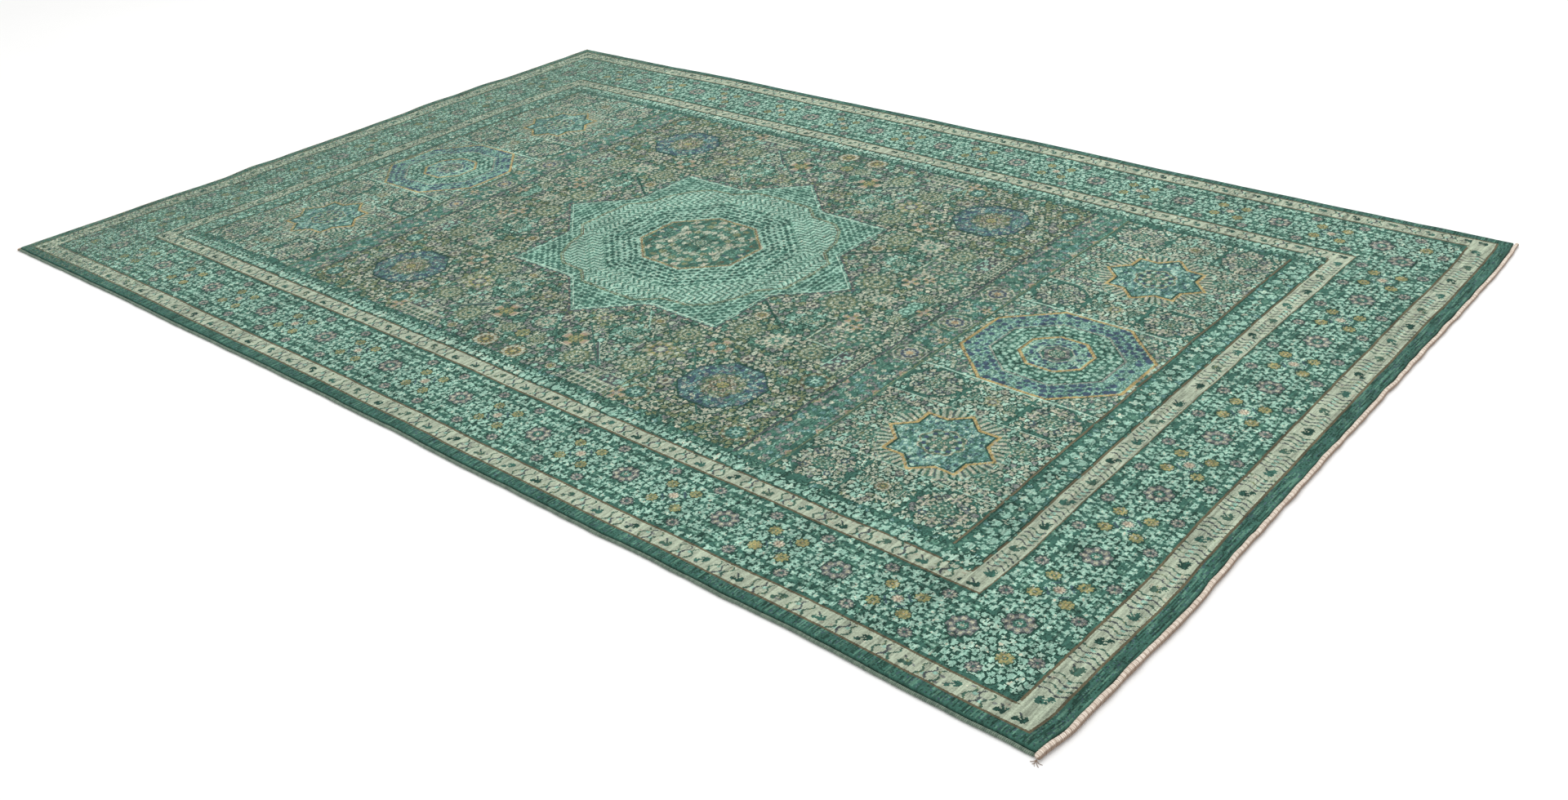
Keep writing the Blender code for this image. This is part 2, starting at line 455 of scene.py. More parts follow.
# The leaves of a quarter of the border's repeat: along, aside, heading, size, points, dye.
def quarterLeaves(half, repeat, seed):
    rng = np.random.default_rng(seed)
    spacing, rowStep = bands["leafSpacing"], border["rowStep"]
    quarter = []
    for j in range(int(half / spacing / rowStep) + 2):
        for i in range(int(repeat / 2 / spacing) + 2):
            along = (i + 0.5 * (j % 2)) * spacing + rng.normal(0, border["strayAlong"])
            aside = (j + 0.35) * spacing * rowStep + rng.normal(0, border["strayAside"])
            quarter.append((along, aside, 360 * rng.random(), bands["leafSize"] * rng.uniform(0.8, 1.25),
                            rng.integers(3, 6), rng.random()))
    return quarter


def borderLeaf(chart, side, along, aside, heading, size, points, dye):
    yarn, vein = "green", "mint"
    if dye < 0.84:
        yarn, vein = "mint", "pale" if dye < border["mintShare"][side] else None
    edge = "deep" if dye * 7 % 1 < 0.7 else "teal"
    heading = 90 - heading if side == "end" else heading
    chart.frond(*bandSpot(side, along, aside), heading, size, yarn, vein, edge, points)


def borderStrip(chart, side, middle, half, reach, repeat, seed):
    # a quarter of the repeat is drawn and turned over, so every leaf has its mirror image
    quarter = quarterLeaves(half, repeat, seed)
    for k in range(int(reach / repeat) + 2):
        for turnAlong, turnAside in diagonals:
            for along, aside, heading, size, points, dye in quarter:
                a, b = k * repeat + turnAlong * along, turnAside * aside
                if along <= repeat / 2 and 0 <= a < reach and abs(b) <= half - 0.003:
                    turned = (heading if turnAlong > 0 else 180 - heading) * turnAside
                    borderLeaf(chart, side, a, middle + b, turned, size, points, dye)
    for k in range(int(reach / repeat) + 2):
        at = k * repeat
        if at < reach + 0.03:
            for da, db in diagonals:
                along, aside, radius = border["mauve"]
                if at + da * along < reach:
                    spread = da * along * (repeat / border["drawnFor"])
                    flower(chart, "mauve", *bandSpot(side, at + spread, middle + db * aside), radius)
                kind = "faintGold" if side == "long" and at < border["fadedBelow"] else "gold"
                along, aside, radius = border["gold"]
                flower(chart, kind, *bandSpot(side, at + da * along, middle + db * aside), radius)
                chart.line(*bandSpot(side, at + da * 0.007, middle + db * 0.018),
                           *bandSpot(side, at + da * 0.018, middle + db * 0.007), 0.0036, "blue")
            flower(chart, "pink", *bandSpot(side, at, middle), 0.0092)
        at = (k + 0.5) * repeat
        if at < reach + 0.03:
            flower(chart, "bigMauve", *bandSpot(side, at, middle), border["rosette"], 22.5)


def mainBorder(chart):
    (outX, outY), (inX, inY) = bands["borderOut"], bands["borderIn"]
    midX, midY = (outX + inX) / 2, (outY + inY) / 2
    chart.box(0, inY, outX, outY, "teal")
    chart.box(inX, 0, outX, outY, "teal")
    borderStrip(chart, "end", midX, (outX - inX) / 2, inY + 0.03, bands["endRepeat"], 17)
    borderStrip(chart, "long", midY, (outY - inY) / 2, inX + 0.03, bands["sideRepeat"], 18)
    # the corner square
    chart.polygon(rect(inX + 0.030, inY + 0.030, outX, outY), "teal")
    scatterLeaves(chart, rect(inX + 0.026, inY + 0.030, outX - 0.002, outY - 0.002), bands["leafSpacing"],
                  bands["leafSize"], ["mint", "mint", "pale"], 5, "deep")
    for x, y in ((inX + 0.020, midY - 0.006), (midX - 0.002, inY + 0.022)):
        flower(chart, "bigMauve", x, y, border["rosette"], 22.5)
    for kind, x, y in (("gold", midX + 0.022, midY + 0.016), ("mauve", outX - 0.020, midY - 0.002),
                       ("mauve", midX, outY - 0.024)):
        flower(chart, kind, x, y, 0.0115)


guards = {
    "inset": 0.0065,            # from the guard's edge to its scroll lines
    "blots": (0.015, 0.004, 0.009),     # how often, and their shortest and longest run
    "sprig": {"long": 0.0140, "end": 0.0165},
    "scrolls": {"long": (-0.0125, 0.0, 0.0125), "end": (-0.0180, -0.0060, 0.0060, 0.0180)},
    "scrollSway": 0.0034,
    "scrollSteps": 15,
    "edge": 0.004,
}


def guardSprig(chart, side, along, mid, lean, yarn):
    chart.line(*bandSpot(side, along - 0.009, mid - 0.007 * lean),
               *bandSpot(side, along + 0.004, mid + 0.005 * lean), 0.0026, "plum")
    heading, size = 45 * lean if side == "long" else 90 - 45 * lean, guards["sprig"][side]
    chart.leaf(*bandSpot(side, along + 0.002, mid + 0.003 * lean), heading, size, yarn)
    chart.leaf(*bandSpot(side, along - 0.006, mid + 0.006), heading + 90, size * 0.64, yarn)


def scroll(chart, side, centre, low, high, turn, yarn):
    last = guards["scrollSteps"] - 1
    for step in range(last + 1):
        along = centre + guards["scrollSway"] * math.sin(step / last * 2.2 * math.pi) * turn
        aside = low + guards["inset"] + step / last * (high - low - 2 * guards["inset"])
        chart.patch(*bandSpot(side, along, aside), 0.0015, 0.0015, yarn)


def guard(chart, low, high, reach, side, repeat, start, seed):
    # a pale band with sprigs between groups of scroll lines, edged in brown
    rng = np.random.default_rng(seed)
    mid, inset, width = (low + high) / 2, guards["inset"], high - low
    often, shortest, longest = guards["blots"]
    bandBox(chart, side, 0, reach, low, high, "shell")
    dyes = ("stone", "sand", "stone", "mauve" if side == "long" and high > 0.8 else "sand")
    for blot in range(int(reach / often)):
        along, aside = rng.uniform(0, reach - 0.01), rng.uniform(low + inset, high - inset)
        end = along + rng.uniform(shortest, longest)
        bandBox(chart, side, along, end, aside - 0.002, aside + 0.002, dyes[rng.integers(4)])
    along, k, offsets = start, 0, guards["scrolls"][side]
    while along < reach - width * 0.8:
        guardSprig(chart, side, along, mid, -1 if k % 2 else 1, ("deep", "moss", "teal")[k % 3])
        for place, offset in enumerate(offsets):
            centre = along + repeat / 2 + offset
            if centre > reach - width - 0.004:
                continue
            turn = 1 if (k if side == "end" else k + place) % 2 else -1
            if place < len(offsets) - 1:
                lowest = mid - 0.001 - 0.005 * turn
                bandBox(chart, side, centre + 0.0035, centre + 0.0090, lowest, mid + 0.006 - 0.005 * turn, "mint")
            scroll(chart, side, centre, low, high, turn, ("moss", "plum")[place % 2])
        along += repeat
        k += 1
    for aside, inner in ((low, low + guards["edge"]), (high, high - guards["edge"])):
        bandBox(chart, side, 0, reach - (high - aside), min(aside, inner), max(aside, inner), "brown")


leafRows = {
    # share of the band's width, leaf size, spacing, how far the row is shifted in spacings, yarns
    "long": [
        (0.14, 0.0120, 0.0150, 0.0, ("green", "teal", "sky")),
        (0.40, 0.0150, 0.0150, 0.5, ("green", "mint", "mint")),
        (0.72, 0.0200, 0.0170, 0.0, ("mint", "pale", "mint")),
    ],
    "end": [
        (0.12, 0.0120, 0.0140, 0.0, ("green", "teal", "sky")),
        (0.86, 0.0140, 0.0140, 0.0, ("green", "mint", "sky")),
        (0.50, 0.0150, 0.0140, 0.5, ("green", "mint", "stone")),
        (0.30, 0.0200, 0.0260, 0.0, ("pale", "mint", "mint")),
        (0.68, 0.0190, 0.0260, 0.5, ("mint", "mint", "green")),
    ],
}


def leafBand(chart, low, high, reach, side, seed):
    # loose rows of leaves on a middling green
    rng = np.random.default_rng(seed)
    bandBox(chart, side, 0, reach, low, high, "teal")
    outward, darkShare = (90, 0.7) if side == "long" else (0, 0.3)
    for share, size, step, shift, dyes in leafRows[side]:
        for k in range(int(reach / step) + 1):
            along = (k + shift + rng.normal(0, 0.08)) * step
            aside = low + (high - low) * (share + rng.normal(0, 0.03))
            shape = chart.frond if rng.random() < 0.6 else chart.leaf
            shape(*bandSpot(side, along, aside), outward + rng.uniform(-70, 70), size * rng.uniform(0.85, 1.1),
                  dyes[rng.integers(3)], "pale" if rng.random() < 0.3 else None,
                  "deep" if rng.random() < darkShare else "teal")
    if side == "end":
        bandBox(chart, side, 0, reach, high - 0.003, high, "deep")


def paintBands(chart):
    mainBorder(chart)
    edge = guards["edge"]
    for outer, inner, startEnd, startSide in (("guardOut", "borderOut", 0.002, 0.0),
                                              ("borderIn", "guardIn", 0.037, 0.030)):
        (outX, outY), (inX, inY) = bands[outer], bands[inner]
        guard(chart, inX, outX, outY, "end", bands["sprigsEnd"], startEnd, 3)
        guard(chart, inY, outY, outX, "long", bands["sprigsSide"], startSide, 4)
        chart.box(inX + edge / 2, inY + edge / 2, outX - edge, outY - edge, "shell")
        chart.box(outX - edge, inY - edge, outX, outY, "brown")
        guardSprig(chart, "long", (inX + outX) / 2, (inY + outY) / 2, 1, "deep")
    (outX, outY), (inX, inY) = bands["guardIn"], bands["leafIn"]
    chart.box(0, inY, outX, outY, "teal")
    leafBand(chart, inX, outX, outY, "end", 7)
    leafBand(chart, inY, outY, outX - edge, "long", 8)


star = {
    "square": (0.302, 0.286),
    "tip": (0.423, 0.399),
    "lobes": [(0.306, 0.0), (0.304, 0.072), (0.262, 0.112), (0.250, 0.165), (0.222, 0.215), (0.188, 0.243),
              (0.122, 0.250), (0.080, 0.287), (0.0, 0.291)],
    "scales": [(9, "mint"), (0.62, "green"), (0.38, "teal")],
    "otherScales": [(0.84, "mint"), (0.66, "green"), (0.50, "teal")],
    "checks": 0.016,             # from check to check along the star's edge
    "combPitch": 0.0154,
    "comb": [(0.22, "mint"), (0.54, "green"), (0.68, "teal"), (0.90, "green")],
    "dots": [(9, "mint"), (0.77, "pale"), (0.66, "mint"), (0.56, "green"), (0.47, "teal"), (0.22, "deep")],
    "otherDots": [(0.82, "mint"), (0.62, "green"), (0.44, "teal")],
    "ringOut": 0.221,            # outer edge of the dotted octagon
    "ringIn": 0.136,
    "narrow": 1.07,              # the medallion is a little narrower than it is long
}


def medallion(chart):
    # the eight-pointed star and what it holds
    squareX, squareY = star["square"]
    tipX, tipY = star["tip"]
    edge = [(tipX, 0), (squareX, tipY * (1 - squareX / tipX)), (squareX, squareY),
            (tipX * (1 - squareY / tipY), squareY), (0, tipY)]
    whole = edge + [(-0.01, tipY), (-0.01, 0)]
    chart.polygon(whole, "teal")
    ringScales(chart, 0, 0, 0.46, 0, star["narrow"], (0.0130, 0.0150), star["scales"], 11, star["otherScales"], 0.45,
               whole)
    chart.path(edge, 0.0045, "plum")
    for (ax, ay), (bx, by) in zip(edge, edge[1:]):
        length = math.hypot(bx - ax, by - ay)
        for k in range(int(length / star["checks"])):
            share = (k + 0.5) * star["checks"] / length
            x, y = ax + (bx - ax) * share, ay + (by - ay) * share
            chart.patch(x, y, 0.003, 0.002, ("peach", "plum", "sand", "moss")[k % 4])
    chart.path([(x * 0.972, y * 0.972) for x, y in edge], 0.0022, "pale")
    # the lobed outline and the combed ring inside it
    lobed = star["lobes"] + [(-0.01, 0.291), (-0.01, 0)]
    view, dx, dy = chart.near(0, 0, 0.345)
    px, py = np.broadcast_arrays(dx, dy)
    reach, along = octagonReach(dx, dy, star["narrow"])
    mask = insideOf(px, py, lobed)
    rng = np.random.default_rng(3)
    ragged = rng.normal(0, 0.07, view.shape)
    ridge = 0.0160 * abs(((reach / 0.0175) % 2) - 1)
    comb = ((along + ridge) / star["combPitch"] + ragged) % 1
    view[mask] = yarnNumber["pale"]
    for share, yarn in star["comb"]:
        view[mask & (comb > share)] = yarnNumber[yarn]
    view[mask & (abs(reach - 0.254) < 0.0022) & (ragged < 0.05)] = yarnNumber["green"]
    chart.path(star["lobes"], 0.0032, "olive")
    chart.path([(x * 0.985, y * 0.985) for x, y in star["lobes"]], 0.0022, "brown")
    # the leaf-dotted octagon: staggered rows of dark dots with pale round them
    out, inner = star["ringOut"], star["ringIn"]
    ringScales(chart, 0, 0, out, 0, star["narrow"], (0.0135, 0.0155), star["dots"], 13, star["otherDots"], 0.35)
    view[(reach > out - 0.004) & (reach < out) & (ragged < 0.05)] = yarnNumber["green"]
    # the middle octagon: slanting petals and dark spots on teal, in a broken brown line
    for share, yarn in ((1.0, "sand"), (0.985, "brown"), (0.955, "olive")):
        view[(reach < inner * share) & (ragged < 0.05)] = yarnNumber[yarn]
    view[(reach < inner * 0.985) & (reach > inner * 0.955) & (ragged > 0.0)] = yarnNumber["gold"]
    view[reach < inner * 0.93] = yarnNumber["teal"]
    middle = octagon(0, 0, inner * 0.90, inner * 0.90 / star["narrow"], regular)
    scatterLeaves(chart, middle, 0.0128, 0.0132, ["green", "moss", "green", "stone", "green", "teal", "moss"], 14,
                  "teal")
    for ring, (radius, petals) in enumerate(((0.036, 12), (0.066, 20), (0.096, 28), (0.117, 36))):
        for k in range(petals + 1):
            turn = 360 * (k + 0.5 * (ring % 2)) / petals
            c, s = ray(turn)
            x, y = [(radius + rng.uniform(-0.007, 0.007)) * way for way in (c, s / star["narrow"])]
            if rng.random() < 0.5:
                yarn = ("sand", "mint", "stone", "stone", "olive")[rng.integers(5)]
                chart.leaf(x, y, turn + rng.uniform(20, 70), 0.0185 * rng.uniform(0.8, 1.1), yarn)
            elif rng.random() < 0.6:
                size = 0.0120 * rng.uniform(0.8, 1.2)
                chart.frond(x, y, turn, size, ("deep", "blue", "deep", "brown")[rng.integers(4)])
    for turn in (0, 45, 90):
        c, s = ray(turn)
        chart.frond(0.118 * c, 0.118 * s / star["narrow"], turn, 0.016, "sand")
    flower(chart, "grey", 0, 0, 0.020)


def ladder(chart, left, low, right, high, columns, rows):
    chart.box(left, low, right, high, "stone")
    stepX, stepY = (right - left) / columns, (high - low) / rows
    for i in range(columns):
        for j in range(rows):
            x, y = left + (i + 0.5) * stepX, low + (j + 0.5) * stepY
            chart.patch(x, y, stepX * 0.34, stepY * 0.34, "moss")


field = {
    "leafSpacing": 0.0142,
    "leafSize": 0.0138,
    "patches": [
        # left, low, right, high, ground, leaf yarns
        (0.0, 0.0, 0.64, 0.610, "moss", ["stone", "mauve", "green", "stone", "sand", "olive", "green"]),
        (0.33, 0.30, 0.64, 0.610, "moss", ["olive", "stone", "sand", "green", "stone", "mauve", "olive"]),
        (0.0, 0.420, 0.33, 0.610, "moss", ["mauve", "stone", "green", "mint", "stone", "mauve"]),
        (0.13, 0.30, 0.33, 0.420, "moss", ["stone", "olive", "green", "mauve", "stone"]),
        (0.58, 0.0, 0.64, 0.30, "moss", ["stone", "mauve", "green", "sand", "stone"]),
    ],
    "lines": [
        # from along, across to along, across, width, yarn
        (0.285, 0.121, 0.401, 0.208, 0.005, "deep"), (0.295, 0.123, 0.391, 0.191, 0.0025, "mauve"),
        (0.401, 0.208, 0.473, 0.166, 0.003, "teal"), (0.473, 0.131, 0.473, 0.219, 0.0035, "stone"),
        (0.473, 0.219, 0.561, 0.219, 0.003, "mint"), (0.561, 0.219, 0.561, 0.289, 0.003, "mint"),
        (0.480, 0.087, 0.533, 0.133, 0.004, "peach"), (0.589, 0.020, 0.589, 0.075, 0.0030, "stone"),
        (0.595, 0.189, 0.595, 0.293, 0.003, "stone"),
        (0.312, 0.336, 0.312, 0.606, 0.003, "olive"), (0.225, 0.409, 0.225, 0.525, 0.004, "stone"),
        (0.149, 0.454, 0.221, 0.525, 0.003, "mint"), (0.153, 0.461, 0.215, 0.523, 0.003, "plum"),
        (0.215, 0.537, 0.307, 0.537, 0.003, "stone"), (0.188, 0.568, 0.311, 0.568, 0.003, "stone"),
        (0.038, 0.465, 0.128, 0.551, 0.003, "teal"), (0.085, 0.415, 0.225, 0.531, 0.003, "teal"),
        (0.143, 0.301, 0.208, 0.379, 0.003, "mint"), (0.208, 0.321, 0.283, 0.391, 0.003, "teal"),
        (0.313, 0.361, 0.393, 0.446, 0.003, "teal"), (0.393, 0.446, 0.493, 0.551, 0.004, "teal"),
        (0.0, 0.406, 0.053, 0.441, 0.004, "plum"), (0.538, 0.591, 0.618, 0.511, 0.003, "teal"),
        (0.513, 0.121, 0.618, 0.191, 0.003, "teal"), (0.423, 0.005, 0.493, 0.111, 0.004, "blue"),
    ],
    "spots": [
        # kind, along, across, radius
        ("dotted", 0.437, 0.057, 0.042), ("ring", 0.341, 0.190, 0.017), ("dotted", 0.357, 0.253, 0.034),
        ("cream", 0.433, 0.257, 0.029), ("dotted", 0.515, 0.257, 0.033), ("grey", 0.563, 0.150, 0.034),
        ("flame", 0.494, 0.098, 0.020), ("flame", 0.523, 0.124, 0.015), ("small", 0.338, 0.109, 0.011),
        ("small", 0.378, 0.059, 0.011), ("small", 0.398, 0.099, 0.014), ("teal", 0.587, 0.337, 0.029),
        ("flame", 0.359, 0.338, 0.028), ("teal", 0.359, 0.338, 0.017), ("small", 0.433, 0.343, 0.015),
        ("white", 0.471, 0.324, 0.013), ("small", 0.523, 0.341, 0.013),
        ("dotted", 0.274, 0.333, 0.034), ("ring", 0.191, 0.325, 0.013), ("white", 0.208, 0.357, 0.010),
        ("yellow", 0.270, 0.412, 0.033), ("dotted", 0.274, 0.484, 0.034), ("yellow", 0.086, 0.378, 0.019),
        ("small", 0.090, 0.321, 0.012), ("white", 0.061, 0.359, 0.011), ("white", 0.120, 0.420, 0.013),
        ("flame", 0.105, 0.475, 0.030), ("faintGold", 0.105, 0.475, 0.013), ("dotted", 0.161, 0.525, 0.034),
        ("white", 0.198, 0.478, 0.012), ("teal", 0.350, 0.557, 0.029), ("small", 0.365, 0.494, 0.017),
        ("teal", 0.587, 0.557, 0.028), ("ring", 0.043, 0.583, 0.028), ("white", 0.578, 0.445, 0.011),
        ("small", 0.593, 0.406, 0.011), ("small", 0.593, 0.481, 0.011), ("cream", 0.0, 0.461, 0.022),
        ("faintGold", 0.0, 0.521, 0.016), ("dotted", 0.043, 0.521, 0.021), ("small", 0.023, 0.421, 0.013),
        ("flame", 0.323, 0.581, 0.019), ("ring", 0.148, 0.581, 0.012), ("white", 0.603, 0.101, 0.013),
        ("cream", 0.493, 0.0, 0.024), ("flame", 0.593, 0.0, 0.017), ("mint", 0.563, 0.014, 0.018),
        ("dotted", 0.563, 0.054, 0.016), ("small", 0.393, 0.139, 0.008),
    ],
    "octagons": [(0.423, 0.157, 0.043), (0.176, 0.398, 0.042)],
    # left, low, right, high, columns, rows
    "ladders": [(0.597, 0.191, 0.619, 0.293, 3, 9), (0.198, 0.571, 0.311, 0.600, 8, 2),
                (0.229, 0.540, 0.255, 0.566, 2, 2)],
    "plumBoxes": [(0.563, 0.213, 0.593, 0.289), (0.259, 0.540, 0.305, 0.566)],
    "disc": (0.460, 0.4455),
    "discSize": 0.079,
}


def blueDisc(chart, x, y, size):
    chart.polygon(octagon(x, y, size * 1.03, size * 1.02), "deep")
    chart.polygon(octagon(x, y, size, size * 0.97), "blue")
    scatterLeaves(chart, octagon(x, y, size * 0.97, size * 0.94), 0.0088, 0.0086,
                  ["sky", "sky", "stone", "sky", "mauve", "green", "navy", "mint"], 41, "blue")
    chart.rosette(x, y, 0.043, 8, [(1.0, "moss", "moss")])
    scatterLeaves(chart, octagon(x, y, 0.040, 0.040), 0.0105, 0.0098,
                  ["olive", "brown", "sand", "stone", "mauve", "sand"], 42, "moss")
    chart.outline(starCorners(x, y, 0.027, 0.037), 0.0022, "olive")
    for turn in range(0, 360, 45):
        c, s = ray(turn)
        chart.rosette(x + 0.020 * c, y + 0.020 * s, 0.0055, 4, [(1.0, "brown", "sand")])
    flower(chart, "gold", x, y, 0.011)


def fieldCloth(chart):
    for seed, (*corners, ground, leafYarns) in enumerate(field["patches"]):
        leafyBox(chart, corners, ground, field["leafSpacing"], field["leafSize"], leafYarns, 21 + seed, "deep")
    for line in field["lines"]:
        chart.line(*line)
    chart.box(0.477, 0.100, 0.561, 0.213, "moss")
    scatterLeaves(chart, rect(0.479, 0.102, 0.560, 0.212), 0.0105, 0.0100, ["stone", "mauve", "green", "sand"], 22)
    # framed octagons of leaves
    for x, y, half in field["octagons"]:
        chart.polygon(octagon(x, y, half, half), "deep")
        scatterLeaves(chart, octagon(x, y, half, half), 0.0115, 0.0112, ["mint", "green", "green", "stone"], 23)
        flower(chart, "grey", x, y, half * 0.42)
    for spot in field["spots"]:
        flower(chart, *spot)
    for rungs in field["ladders"]:
        ladder(chart, *rungs)
    for corners in field["plumBoxes"]:
        leafyBox(chart, corners, "plum", 0.013, 0.010, ["mint", "stone"], 31)
    blueDisc(chart, *field["disc"], field["discSize"])
    medallion(chart)
    stackedColumn(chart)
    endPanel(chart)


column = {
    "left": 0.6300,
    "right": 0.7000,
    "leafRows": 7,
    "leafStep": 0.0108,
    "eyes": (0.0, 0.150),
    "triangles": 0.0833,        # from one pair of edge triangles to the next
    "firstTriangles": 0.220,
}


def stackedColumn(chart):
    # dark band of leaf rows with a stack of eyes at its middle
    left, right, ly = column["left"], column["right"], bands["leafIn"][1]
    middle = (left + right) / 2
    chart.box(left, 0, right, ly, "teal")
    rng = np.random.default_rng(9)
    step = column["leafStep"]
    for k in range(column["leafRows"]):
        x = left + 0.007 + k * 0.0094
        for j in range(int(ly / step) + 1):
            yarn = ("green", "sky", "mauve", "green", "stone", "teal", "mauve")[rng.integers(7)]
            chart.leaf(x, (j + 0.5 * (k % 2)) * step, (90, -90)[k % 2], 0.0100, yarn)
    for y in column["eyes"]:
        chart.box(left - 0.003, y - 0.036, right, y + 0.036, "moss")
        scatterLeaves(chart, rect(left, max(y - 0.035, 0), right, y + 0.035), 0.012, 0.010,
                      ["stone", "green", "mauve"], 91)
        chart.outline(octagon(middle, y, 0.030, 0.031), 0.003, "stone")
        flower(chart, "eye", middle, y, 0.023)
    flower(chart, "flame", right - 0.012, 0.075, 0.012)
    y = column["firstTriangles"]
    while y < ly:
        for x, out in ((left, 1), (right, -1)):
            for size, yarn in ((0.010, "peach"), (0.005, "olive")):
                chart.polygon([(x, y - size), (x + out * size, y), (x, y + size)], yarn)
        y += column["triangles"]
    chart.line(left - 0.006, 0, left - 0.006, ly, 0.0034, "plum")
    for x, yarn in ((left - 0.002, "olive"), (right + 0.002, "olive")):
        chart.line(x, 0, x, ly, 0.0020, yarn)
        chart.line(x + 0.002, 0, x + 0.002, ly, 0.0020, "deep")


panel = {
    "left": 0.7045,
    "right": 1.0490,
    "centre": 0.8800,
    "rules": (0.1600, 0.2715, 0.4835),    # thin pale lines across the panel
    "starAt": 0.3775,
    "starSquare": 0.0690,
    "starPoint": 0.1010,
    "cellWidths": (0.118, 0.116),       # of the lozenge cells, left and right
    "narrow": 1.025,
    "rings": [
        # outer and inner edge, rows and places, scales from the rim in, other scales
        (0.1570, 0.1130, (0.0145, 0.0160),
         [(9, "green"), (0.84, "mint"), (0.70, "sky"), (0.52, "blue"), (0.38, "navy")],
         [(9, "sky"), (0.74, "green"), (0.52, "mint"), (0.30, "sky")]),
        (0.1130, 0.1090, (0.0100, 0.0100), [(9, "mauve"), (0.50, "stone")], []),
        (0.1090, 0.0660, (0.0125, 0.0140), [(9, "teal"), (0.66, "green"), (0.52, "mint"), (0.20, "pale")],
         [(9, "deep"), (0.62, "teal"), (0.48, "green"), (0.30, "mint")]),
        (0.0600, 0.0310, (0.0105, 0.0130), [(9, "mint"), (0.66, "sky"), (0.50, "blue"), (0.34, "navy")],
         [(9, "green"), (0.6, "mint"), (0.30, "pale")]),
        (0.0310, 0.0275, (0.0100, 0.0100), [(9, "stone"), (0.50, "mauve")], []),
    ],
    # outlines of the gold octagon: half width, line width, yarn
    "outlines": [(0.1612, 0.0030, "brown"), (0.1588, 0.0052, "gold"), (0.0647, 0.0030, "brown"),
                 (0.0623, 0.0050, "gold")],
}


def lozengeCell(chart, left, low, right, high, tone, seed):
    # a square with cut corners, a rosette and four petals
    x, y = (left + right) / 2, (low + high) / 2
    halfX, halfY = (right - left) / 2, (high - low) / 2

    def cut(share):
        return octagon(x, y, halfX * share, halfY * share, 0.3)

    leafyBox(chart, (left, low, right, high), "teal", 0.0122, 0.0120, ["mint", "stone", "stone", "pale"], seed,
             "deep")
    chart.polygon(cut(0.93), "teal")
    scatterLeaves(chart, cut(0.88), 0.0118, 0.0122, ["sand", "stone", "pale", "mauve", "stone"], seed + 1, "deep")
    chart.outline(cut(0.96), 0.0024, "teal")
    for c, s in straights:
        dx, dy = c * halfX * 0.58, s * halfY * 0.58
        chart.rosette(x + dx, y + dy, 0.0105, 4, [(1.0, "moss", tone), (0.6, "mauve", tone)])
        dx, dy = (c + s) * halfX * 0.40, (s - c) * halfY * 0.40
        chart.rosette(x + dx, y + dy, 0.0070, 4, [(1.0, "plum", "blue"), (0.45, "stone", "stone")])
    flower(chart, "grey", x, y, 0.0195)


def starCell(chart, x, y):
    # the gold eight-pointed star and the four rosettes round it
    left, right, (low, high) = panel["left"], panel["right"], panel["rules"][1:]
    square, point = panel["starSquare"], panel["starPoint"]
    leafyBox(chart, (left, low, right, high), "green", 0.0118, 0.0120,
             ["stone", "pale", "stone", "mauve", "sand", "mint"], 61, "deep")
    for c, d in diagonals:
        cx, cy = x + c * 0.122, y + d * 0.052
        flower(chart, "grey", cx, cy, 0.023)
        for k in range(6):
            chart.patch(cx + (k - 2.5) * 0.006, cy + d * 0.033, 0.0016, 0.008, ("mauve", "sand")[k % 2])
        for i in range(8):
            for j in range(4):      # checks on the star's shoulders
                yarn = ("sand", "plum")[(i + j) % 2]
                chart.patch(x + c * (0.026 + i * 0.006), y + d * (0.080 + j * 0.006), 0.002, 0.002, yarn)
    chart.polygon(octagon(x, y, 0.108, 0.105), "green")
    # rays behind the star, pale ones first
    for offset, tips, width, dyes in ((0, (0.112, 0.104, 0.109), 0.0058, ("stone", "sand", "stone")),
                                      (0.5, (0.108,), 0.0030, ("moss", "plum", "moss", "deep"))):
        for k in range(54):
            c, s = math.cos(math.tau * (k + offset) / 54), math.sin(math.tau * (k + offset) / 54)
            reach = tips[k % len(tips)]
            chart.line(x + 0.080 * c, y + 0.080 * s, x + reach * c, y + reach * s, width, dyes[k % len(dyes)])
    outer = starCorners(x, y, square, point)
    chart.polygon(outer, "sky")
    scatterLeaves(chart, outer, 0.0096, 0.0090, ["green", "mint", "blue", "teal", "green", "pale", "teal"], 62)
    chart.outline(starCorners(x, y, square - 0.005, point - 0.007), 0.003, "deep")
    chart.outline(outer, 0.0056, "gold")
    chart.rosette(x, y, 0.0400, 8, [(1.0, "olive", "sand"), (0.93, "stone", "moss"), (0.86, "teal", "moss")])
    for radius, count, dyes in ((0.0300, 20, ("navy", "mint")), (0.0225, 14, ("stone", "moss")),
                                (0.0150, 10, ("green", "sand"))):
        for k in range(count):
            turn, dye = math.tau * k / count, dyes[k % 2]
            chart.rosette(x + radius * math.cos(turn), y + radius * math.sin(turn), 0.0042, 4, [(1.0, dye, dye)])
    flower(chart, "grey", x, y, 0.0110)


